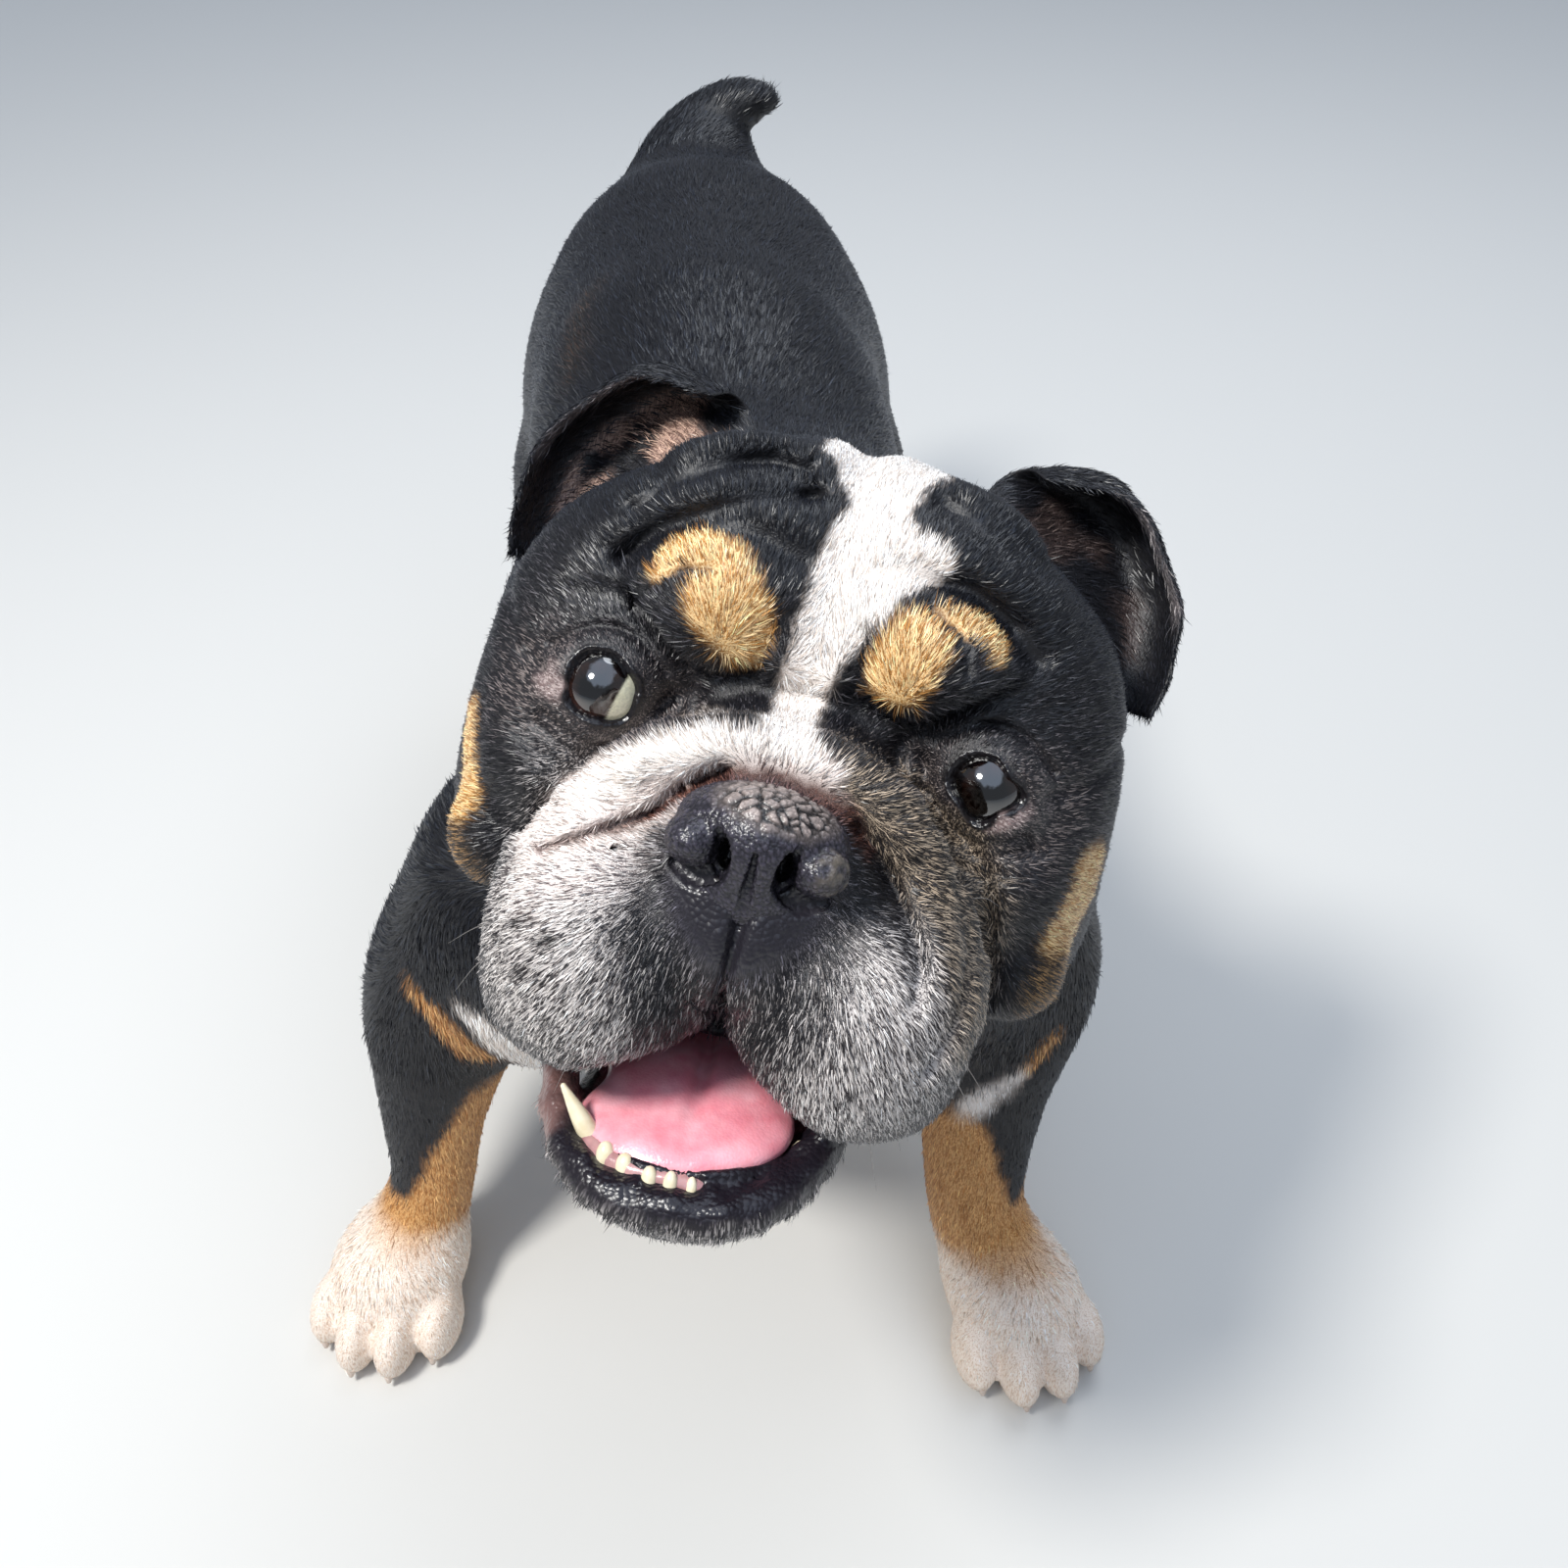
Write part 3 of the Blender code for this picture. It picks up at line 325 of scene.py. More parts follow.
# Each leg: its path from the shoulder or thigh down to the wrist, the radii, the paw's place, heading and size.
LEGS = {
    "leg_front_left": (
        ((0.094, -0.148, 0.208), (0.119, -0.152, 0.152), (0.110, -0.180, 0.100), (0.106, -0.205, 0.060),
         (0.114, -0.218, 0.032)),
        (0.044, 0.041, 0.029, 0.0225, 0.0240),
        (0.122, -0.233, 0.0), 10, 1.0,
    ),
    "leg_front_right": (
        ((-0.080, -0.148, 0.204), (-0.114, -0.152, 0.148), (-0.127, -0.172, 0.100), (-0.132, -0.186, 0.062),
         (-0.143, -0.195, 0.032)),
        (0.044, 0.038, 0.0250, 0.0195, 0.0230),
        (-0.150, -0.206, 0.0), -12, 1.0,
    ),
    "leg_hind_left": (
        ((0.062, 0.175, 0.200), (0.072, 0.165, 0.152), (0.074, 0.226, 0.112), (0.076, 0.246, 0.080),
         (0.078, 0.232, 0.035)),
        (0.048, 0.042, 0.027, 0.0225, 0.0220),
        (0.080, 0.218, 0.0), 10, 0.94,
    ),
    "leg_hind_right": (
        ((-0.062, 0.175, 0.200), (-0.072, 0.165, 0.152), (-0.074, 0.226, 0.112), (-0.076, 0.246, 0.080),
         (-0.078, 0.232, 0.035)),
        (0.048, 0.042, 0.027, 0.0225, 0.0220),
        (-0.080, 0.218, 0.0), -10, 0.94,
    ),
}
NECK_PATH = ((0.000, -0.100, 0.262), (0.004, -0.155, 0.290), (0.012, -0.195, 0.320))
NECK_RADII = (0.086, 0.084, 0.078)
TAIL_PATH = (
    (-0.002, 0.225, 0.316),
    (-0.002, 0.260, 0.340),
    (0.004, 0.281, 0.357),
    (0.020, 0.286, 0.369),
    (0.031, 0.283, 0.372),
)
TAIL_RADII = (0.038, 0.030, 0.021, 0.0165, 0.0120)


def dog_clay(points):
    """Distances from world points to the whole dog, without its ears."""
    own = points - BODY_SHIFT
    lean = SHOULDER_SHIFT * eased((0.10 - own[:, 1]) / 0.20)
    torso = Clay(mirrored(own, lean))
    for _, centre, radii, turn, blend in BODY_MASSES:
        torso.mass(centre, radii, turn, blend)
    clay = Clay(own, torso.depth)
    clay.limb(NECK_PATH, NECK_RADII, 0.035)
    for path, radii, place, heading, size in LEGS.values():
        clay.limb(path, radii, 0.018)
        clay.mass(on_paw(place, heading, size, *PAW_PAD[0]), np.array(PAW_PAD[1]) * size, (0, 0, heading), 0.012)
        for across, ahead in TOES:
            toe = on_paw(place, heading, size, across, ahead, TOE_HEIGHT)
            clay.mass(toe, np.array(TOE_RADII) * size, (0, 0, heading), 0.003)
    clay.limb(TAIL_PATH, TAIL_RADII, 0.020, (1.25, 1, 0.8))
    return melt(clay.depth, head_clay(into_head(points)), 0.012)


# The skin: one closed sheet over head, neck, body, legs and tail. It lies under the clay by the depth of the coat
# that grows on it, which is thinnest on lips, lids and toes, and so carries every fold of the face.
SKIN_CELL = 0.0035
BODY_COAT_DEPTH = 0.0014
FACE_COAT_DEPTH = 0.0009
BARE_DEPTH = 0.0003
CORNERS = np.array([(i, j, k) for i in (0, 1) for j in (0, 1) for k in (0, 1)])
HASH = np.array((73856093, 19349663, 83492791))


def rumple(points, size, seed=0):
    """Smooth noise from -1 to 1: random values at the corners of cells of that size, eased between them."""
    low = np.floor(points / size).astype(np.int64)
    part = eased(points / size - low)
    total = np.zeros(len(points))
    for corner in CORNERS:
        mixed = (low + corner) @ HASH + seed * 9781
        mixed = (mixed ^ (mixed >> 13)) * 1274126177
        value = ((mixed ^ (mixed >> 16)) & 0xFFFF) / 32767.5 - 1
        total += value * np.prod(np.where(corner, part, 1 - part), axis=1)
    return total


def spot(points, centre, radii, soft=0.3):
    """1 inside an ellipsoid and 0 outside it, eased over a share of its size."""
    away = np.linalg.norm((points - np.array(centre)) / np.array(radii), axis=1)
    return eased((1 - away) / soft + 0.5)


def stroke(points, path, radii, soft):
    """1 along a path and 0 beyond its radii, eased over a width."""
    return eased(0.5 - limb(points, path, radii, steps=3) / soft)


def both(local):
    """Head-frame points folded onto the left half, for what both sides share."""
    return mirrored(local)


# The eyelids lie on a ball round each globe and open in front of it. An opening has its own axis, and reaches from
# it by so many degrees at every eighth of a turn, counted from the dog's left over the top.
LID_BALL = 0.0141
EYE_SOCKET = 0.0100
LID_AXIS = {1: (-0.132, -1.0, -0.070), -1: (0.078, -1.0, 0.093)}
LID_REACH = {1: (54, 34, 42, 46, 47, 35, 48, 37), -1: (48, 38, 43, 48, 44, 50, 47, 58)}
LID_SLOPE, LID_BEND = 0.45, 45.0
NOSTRIL = ((0.0082, -0.0715, -0.0218), (0.0022, 0.0120, 0.0050), (0, -4, 10))
NOSTRIL_CURL = ((0.0092, -0.0700, -0.0158), (0.0074, -0.0690, -0.0210), (0.0084, -0.0668, -0.0262),
                (0.0128, -0.0638, -0.0285), (0.0176, -0.0595, -0.0272))
NOSTRIL_CURL_RADII = (0.0010, 0.0022, 0.0026, 0.0023, 0.0009)
NOSE_WEDGE = ((0, -0.060, -0.026), (0, -0.064, -0.034), (0, -0.062, -0.045))


def lid_margin(local, side):
    """How far points are from the globe's centre, and how far along the lids they lie outside the opening."""
    inward = -np.array(LID_AXIS[side]) / np.linalg.norm(LID_AXIS[side])
    across = np.cross(inward, (0, 0, 1))
    across /= np.linalg.norm(across)
    away = (local - EYE_PLACE * (side, 1, 1)) @ np.stack([across, inward, np.cross(across, inward)], 1)
    size = np.linalg.norm(away, axis=1)
    off_axis = np.arccos(np.clip(-away[:, 1] / np.maximum(size, 1e-9), -1, 1))
    turn = np.arctan2(away[:, 2], away[:, 0]) / (pi / 4) % 8
    step = turn.astype(int) % 8
    reach = np.radians(LID_REACH[side])
    edge = reach[step] + (reach[(step + 1) % 8] - reach[step]) * eased(turn - step)
    return size, LID_BALL * (off_axis - edge)


def bare(points):
    """How hairless the skin is: 1 on the lids' rims, in the mouth, on the wet lip and round the nose's wedge."""
    local = into_head(points)
    bald = np.zeros(len(local))
    for side in (-1, 1):
        size, beyond = lid_margin(local, side)
        bald = np.maximum(bald, eased(0.5 + (0.0011 - beyond) / 0.0010) * (size < 0.019))
    mouth = spot(local, *MOUTH, 0.10)
    jaw = mirrored(into_jaw(local))
    lip = stroke(jaw, np.array(LOWER_LIP_PATH) + (0, -0.0004, 0.0032), np.array(LOWER_LIP_RADII) * 0.92, 0.0030)
    floor = spot(jaw, JAW_FLOOR[0], np.array(JAW_FLOOR[1]) * 1.12, 0.1)
    wedge = stroke(mirrored(local), NOSE_WEDGE, (0.0185, 0.0140, 0.0045), 0.009)
    return np.maximum.reduce([bald, mouth, lip, floor, wedge])


def coat_depth(points):
    """How thick the coat is at each point."""
    local = into_head(points)
    face = eased((0.085 - local[:, 1]) / 0.03) * (np.abs(local).max(1) < 0.16)
    depth = BODY_COAT_DEPTH + (FACE_COAT_DEPTH - BODY_COAT_DEPTH) * face
    feet = eased((0.045 - points[:, 2]) / 0.02)
    depth += (FACE_COAT_DEPTH - depth) * feet
    near = np.abs(local).max(1) < 0.16
    depth[near] += (BARE_DEPTH - depth[near]) * bare(points[near])
    return depth


# Wrinkles finer than the clay's: side (0 for both), path from the front, half width and height.
SKIN_FOLDS = (
    (-1, ((-0.056, 0.036), (-0.050, 0.0440), (-0.042, 0.0495), (-0.029, 0.0560), (-0.010, 0.0640)), 0.0028, -0.0034),
    (-1, ((-0.056, 0.049), (-0.0474, 0.0569), (-0.028, 0.0690), (-0.014, 0.0700)), 0.0030, -0.0032),
    (-1, ((-0.030, 0.063), (-0.020, 0.0650), (-0.012, 0.0630)), 0.0022, -0.0018),
    (-1, ((-0.045, 0.029), (-0.0415, 0.0330), (-0.0360, 0.0365), (-0.029, 0.0390)), 0.0016, -0.0022),
    (1, ((0.024, 0.0480), (0.034, 0.0500), (0.048, 0.0440)), 0.0026, -0.0022),
    (1, ((0.026, 0.0415), (0.0335, 0.0390), (0.0370, 0.0340), (0.0385, 0.029)), 0.0016, -0.0022),
    (1, ((0.0225, 0.070), (0.030, 0.066), (0.040, 0.060)), 0.0026, -0.0016),
    (1, ((0.020, -0.0106), (0.0288, -0.0189), (0.0358, -0.0268), (0.041, -0.034), (0.043, -0.044)), 0.0022, -0.0030),
    (1, ((0.0470, -0.0180), (0.0530, -0.0320), (0.0540, -0.0460), (0.050, -0.060)), 0.0020, -0.0020),
    (1, ((0.0300, -0.0040), (0.0430, -0.0080), (0.0570, -0.0200), (0.0660, -0.0430), (0.070, -0.056)), 0.0026, -0.0026),
    (-1, ((-0.013, -0.0050), (-0.0205, -0.0120), (-0.0290, -0.0215), (-0.0400, -0.0285), (-0.0490, -0.0350)),
     0.0020, -0.0036),
    (-1, ((-0.052, -0.0260), (-0.0570, -0.0380), (-0.0580, -0.0500)), 0.0022, -0.0016),
    (0, ((0.036, -0.0150), (0.052, -0.0185), (0.070, -0.0120)), 0.0018, -0.0016),
    (0, ((0.034, -0.0080), (0.043, -0.0125), (0.052, -0.0135), (0.066, -0.0090)), 0.0016, -0.0014),
    (0, ((0.037, 0.0100), (0.046, 0.0170), (0.058, 0.0165), (0.069, 0.0090)), 0.0016, -0.0018),
    (0, ((0.012, 0.0170), (0.022, 0.0130), (0.034, 0.0130)), 0.0022, -0.0022),
    (0, ((0.068, 0.0020), (0.080, 0.0080), (0.090, 0.0200)), 0.0026, -0.0014),
)
PHILTRUM_BED = ((0.0, -0.0470, -0.0400), (0.0230, 0.0180, 0.0200))


def skin_clay(points):
    """Distances to the skin: the clay with eyelids and fine wrinkles, less the coat."""
    depth = dog_clay(points)
    local = into_head(points)
    near = (np.abs(local).max(1) < 0.14) & (local[:, 1] < 0.095)
    if near.any():
        face = Clay(local[near], depth[near])
        face.mass(*PHILTRUM_BED, (0, 0, 0), 0.006)
        face.crease(((0.0, -0.022), (0.0, -0.045), (0.0, -0.075)), 0.0015, -0.0034)
        for side, path, width, height in SKIN_FOLDS:
            for one in ((side,) if side else (-1, 1)):
                face.crease(np.array(path) * (1 if side else one, 1), width, height)
        for side in (-1, 1):
            size, beyond = lid_margin(face.points, side)
            rise = LID_SLOPE * np.maximum(beyond, 0) + LID_BEND * np.maximum(beyond, 0) ** 2
            lids = melt(face.depth, size - LID_BALL, 0.004)
            lids = press(lids, LID_BALL + rise - size, 0.002)
            lids = press(lids, np.maximum(beyond, EYE_SOCKET - size), 0.0012)
            face.depth += (lids - face.depth) * eased((0.030 - size) / 0.010)
        hole = ellipsoid(mirrored(face.points), NOSTRIL[0], np.array(NOSTRIL[1]) * (1.5, 1.25, 1.3), NOSTRIL[2])
        face.depth = press(face.depth, hole, 0.001)
        curl = limb(mirrored(face.points), NOSTRIL_CURL, np.array(NOSTRIL_CURL_RADII) * 1.2, steps=4)
        face.depth = press(face.depth, curl, 0.001)
        jaw = mirrored(into_jaw(local[near]))
        lip = stroke(jaw, LOWER_LIP_PATH, np.array(LOWER_LIP_RADII) * 1.3, 0.004)
        face.depth += 0.0009 * lip * rumple(local[near], 0.0045, 4) + 0.00022 * rumple(local[near], 0.004, 3)
        depth[near] = face.depth
    return depth + coat_depth(points)


def crossed_cells(field, low, high, cell, halvings=3):
    """Cells of that size that the surface of the field crosses, found by halving coarse ones."""
    size = cell * 2**halvings
    spans = [np.arange(np.floor(a / size), np.ceil(b / size)) for a, b in zip(low, high)]
    cells = np.stack(np.meshgrid(*spans, indexing="ij"), -1).reshape(-1, 3).astype(int)
    for level in range(halvings, -1, -1):
        size = cell * 2**level
        cells = cells[np.abs(field((cells + 0.5) * size)) < 1.4 * size]
        if level:
            cells = (cells[:, None] * 2 + CORNERS[None]).reshape(-1, 3)
    return cells


def surface_of(field, low, high, cell):
    """Surface nets: a vertex in each cell that the surface crosses, and a quad round each crossed cell edge."""
    cells = crossed_cells(field, low, high, cell)
    base = cells.min(0) - 1
    extent = cells.max(0) - base + 3
    key = lambda ijk: (ijk - base) @ np.array((extent[1] * extent[2], extent[2], 1))
    cells = cells[np.argsort(key(cells))]
    keys = key(cells)
    corners = (cells[:, None] + CORNERS[None]).reshape(-1, 3)
    _, first, index = np.unique(key(corners), return_index=True, return_inverse=True)
    values = field(corners[first] * cell)[index].reshape(-1, 8)
    total, count = np.zeros((len(cells), 3)), np.zeros(len(cells))
    for a in range(8):
        for b in range(a + 1, 8):
            if np.abs(CORNERS[a] - CORNERS[b]).sum() == 1:
                split = (values[:, a] < 0) != (values[:, b] < 0)
                t = values[split, a] / (values[split, a] - values[split, b])
                total[split] += CORNERS[a] + t[:, None] * (CORNERS[b] - CORNERS[a])
                count[split] += 1
    points = (cells + total / np.maximum(count, 1)[:, None]) * cell
    quads = []
    for axis in range(3):
        step = np.eye(3, dtype=int)
        split = (values[:, 0] < 0) != (values[:, 4 >> axis] < 0)
        u, v = step[(axis + 1) % 3], step[(axis + 2) % 3]
        ring = np.stack([np.searchsorted(keys, key(cells[split] - d)) for d in (0 * u, u, u + v, v)], 1)
        quads.append(np.where((values[split, 0] < 0)[:, None], ring, ring[:, ::-1]))
    used, quads = np.unique(np.vstack(quads), return_inverse=True)
    quads = quads.reshape(-1, 4)
    return points[used], np.vstack([quads[:, [0, 1, 2]], quads[:, [0, 2, 3]]])


def slope(field, points, step=0.0004):
    """The field's gradient, by central differences."""
    return np.stack([(field(points + d) - field(points - d)) / (2 * step) for d in np.eye(3) * step], 1)


def settled(field, points, rounds=1, most=0.004):
    """Points moved onto the surface along the gradient, none further than most at a time."""
    for _ in range(rounds):
        g = slope(field, points)
        move = g * (field(points) / np.maximum((g * g).sum(1), 0.15))[:, None]
        size = np.linalg.norm(move, axis=1)
        points = points - move * np.minimum(1, most / np.maximum(size, 1e-9))[:, None]
    return points


def edges_of(faces):
    """The three edges of each triangle as rows, and each edge's number among the distinct ones."""
    ends = np.sort(np.stack([faces[:, [0, 1]], faces[:, [1, 2]], faces[:, [2, 0]]], 1), axis=2).astype(np.int64)
    key = ends[..., 0] * (ends.max() + 1) + ends[..., 1]
    _, first, index = np.unique(key.ravel(), return_index=True, return_inverse=True)
    return ends.reshape(-1, 2)[first], index.reshape(-1, 3)


def refined(field, points, faces, wanted):
    """Triangles split at the middle of each edge that is longer than wanted there, the new points on the surface."""
    edges, of_face = edges_of(faces)
    mids = points[edges].mean(1)
    split = np.linalg.norm(points[edges[:, 0]] - points[edges[:, 1]], axis=1) > wanted(mids)
    number = np.full(len(edges), -1)
    number[split] = len(points) + np.arange(split.sum())
    points = np.vstack([points, settled(field, mids[split])])
    mid = number[of_face]
    count = (mid >= 0).sum(1)
    made = [faces[count == 0]]
    corner, m = faces[count == 3].T, mid[count == 3].T
    for row in ((corner[0], m[0], m[2]), (m[0], corner[1], m[1]), (m[2], m[1], corner[2]), (m[0], m[1], m[2])):
        made.append(np.stack(row, 1))
    for turn in range(3):
        order = [turn, (turn + 1) % 3, (turn + 2) % 3]
        one = (count == 1) & (mid[:, order[0]] >= 0)
        a, b, c = faces[one][:, order].T
        m = mid[one][:, order[0]]
        made += [np.stack((a, m, c), 1), np.stack((m, b, c), 1)]
        two = (count == 2) & (mid[:, order[2]] < 0)
        a, b, c = faces[two][:, order].T
        m, n = mid[two][:, order[0]], mid[two][:, order[1]]
        made += [np.stack((m, b, n), 1), np.stack((a, m, n), 1), np.stack((a, n, c), 1)]
    return points, np.vstack(made)


def evened(field, points, faces, rounds=2):
    """Points drawn halfway towards the mean of their neighbours, then settled again."""
    edges, _ = edges_of(faces)
    both_ways = np.vstack([edges, edges[:, ::-1]])
    count = np.bincount(both_ways[:, 0], minlength=len(points))
    for _ in range(rounds):
        near = [np.bincount(both_ways[:, 0], points[both_ways[:, 1], k], len(points)) for k in range(3)]
        points = 0.5 * points + 0.5 * np.stack(near, 1) / np.maximum(count, 1)[:, None]
        points = settled(field, points)
    return points


def face_detail(points):
    """The edge length wanted at each point: fine on the face, finest at eyes, nose and mouth."""
    local = into_head(points)
    folded = both(local)
    wanted = np.full(len(points), 0.02)
    wanted[(local[:, 1] < 0.075) & (np.abs(local).max(1) < 0.13)] = 0.0034
    wanted[(local[:, 1] < 0.035) & (np.abs(local).max(1) < 0.13)] = 0.0026
    eye = np.linalg.norm(folded - EYE_PLACE, axis=1) < 0.021
    lips = stroke(local, ((-0.030, -0.050, -0.088), (0, -0.060, -0.070), (0.030, -0.050, -0.082)), (0.03,) * 3, 0.002) > 0.5
    wanted[eye | (lips & (local[:, 1] < 0))] = 0.0017
    wanted[np.linalg.norm(folded - (0.011, -0.066, -0.026), axis=1) < 0.013] = 0.0012
    for side in (-1, 1):
        size, beyond = lid_margin(local, side)
        wanted[(size < 0.020) & (np.abs(beyond) < 0.004)] = 0.0009
    return wanted


def mesh_object(name, points, faces, smooth=True):
    """A mesh object with its place in its mesh."""
    mesh = bpy.data.meshes.new(name)
    points, faces = np.asarray(points, np.float32), np.asarray(faces, np.int32)
    corners = faces.shape[1]
    mesh.vertices.add(len(points))
    mesh.loops.add(faces.size)
    mesh.polygons.add(len(faces))
    mesh.vertices.foreach_set("co", points.ravel())
    mesh.loops.foreach_set("vertex_index", faces.ravel())
    mesh.polygons.foreach_set("loop_start", np.arange(0, faces.size, corners, dtype=np.int32))
    mesh.polygons.foreach_set("loop_total", np.full(len(faces), corners, np.int32))
    mesh.update(calc_edges=True)
    mesh.validate()
    if smooth:
        mesh.shade_smooth()
    made = bpy.data.objects.new(name, mesh)
    bpy.context.scene.collection.objects.link(made)
    return made


def give(obj, name, values):
    """A value for each vertex of the mesh: a colour, or a number, or a vector where the name is flow."""
    kind, key = ("FLOAT_COLOR", "color") if values.ndim == 2 else ("FLOAT", "value")
    if name == "flow":
        kind, key = "FLOAT_VECTOR", "vector"
    elif values.ndim == 2:
        values = np.column_stack([values, np.ones(len(values))])
    layer = obj.data.attributes.new(name, kind, "POINT")
    layer.data.foreach_set(key, np.ascontiguousarray(values, np.float32).ravel())


skin_low, skin_high = np.array(cad_bounds[0]) - 0.01, np.array(cad_bounds[1]) + 0.01
points, faces = surface_of(skin_clay, skin_low, skin_high, SKIN_CELL)
points = settled(skin_clay, points)
for _ in range(3):
    points, faces = refined(skin_clay, points, faces, face_detail)
skin_points = evened(skin_clay, points, faces)
SOLE = 0.0006
skin_points[:, 2] = np.maximum(skin_points[:, 2], SOLE)
skin = mesh_object("skin", skin_points, faces)
skin_faces = faces

# Markings: black with a white blaze, white nose roll, tan brow spots and cheeks, and a muzzle grizzled with age.
# The bib, belly and toes are white, and tan runs between black and white on the legs. Each marking gives the dark
# and the light hairs' colours, the share of light ones, and the skin between them.


def linear(code):
    """An sRGB hex colour as linear numbers."""
    value = np.array([int(code[i : i + 2], 16) for i in (1, 3, 5)]) / 255
    return np.where(value <= 0.04045, value / 12.92, ((value + 0.055) / 1.055) ** 2.4)


# The black coat's blue-grey light hairs stand partly for its sheen: painted sheen in the hair colour.
BLACK = ("#0d0d12", "#1f222a", 0.15, "#0c0c11")
FACE_BLACK = ("#0e0d11", "#4d4a4e", 0.13, "#131115")
EYE_SKIN = ("#19161a", "#7d726e", 0.34, "#2a2527")
WHITE = ("#c4b7ac", "#f4eee8", 0.80, "#e3d0c4")
ROLL = ("#a89b94", "#efe6e0", 0.72, "#d9c0b6")
TAN = ("#b07c3e", "#f2d29b", 0.60, "#c4955a")
LEG_TAN = ("#a86f36", "#dba96c", 0.50, "#b27c44")
PAW_WHITE = ("#d2b79f", "#f8eee2", 0.64, "#e6c8b0")
BROWN = ("#2e241b", "#a07c4f", 0.42, "#3d3024")
RIGHT_BROWN = ("#231e1c", "#b3a08a", 0.40, "#443930")
GRIZZLE = ("#2f2a2b", "#ddd6d1", 0.60, "#6b5f5e")
DARK_GRIZZLE = ("#1b191c", "#bcb5b1", 0.40, "#352f30")
PALE_GRIZZLE = ("#6a5d5c", "#ebe3dd", 0.66, "#b39e98")
CENTRE_GRIZZLE = ("#121114", "#8f8987", 0.24, "#1f1c1f")
WHISKER_BED = ("#151314", "#4a4544", 0.30, "#1e1b1c")
# Reddish-brown skin of the crease under the nose roll, darkened and widened as painted shade under the roll.
CREASE_PINK_AND_SHADE = ("#351d18", "#7d5446", 0.32, "#573328")
LEATHER = ("#16151a", "#575460", 0.42, "#232127")
# Near-black skin of the lids' rims, also laid in the nostril holes as painted shade.
LIDS_AND_NOSTRIL_SHADE = ("#0e0c0e", "#2a2626", 0.20, "#141114")
CORNER_SKIN = ("#6a5856", "#b0a19d", 0.50, "#8f7b78")
LIP = ("#121016", "#3a3440", 0.30, "#1a161d")
LIP_FOLD = ("#5d4441", "#a0807a", 0.50, "#7f5f5a")
MOUTH_PINK = ("#7c3c42", "#a2585c", 0.50, "#8a4a50")
SMUDGE = ("#15110f", "#38291e", 0.30, "#1a1411")
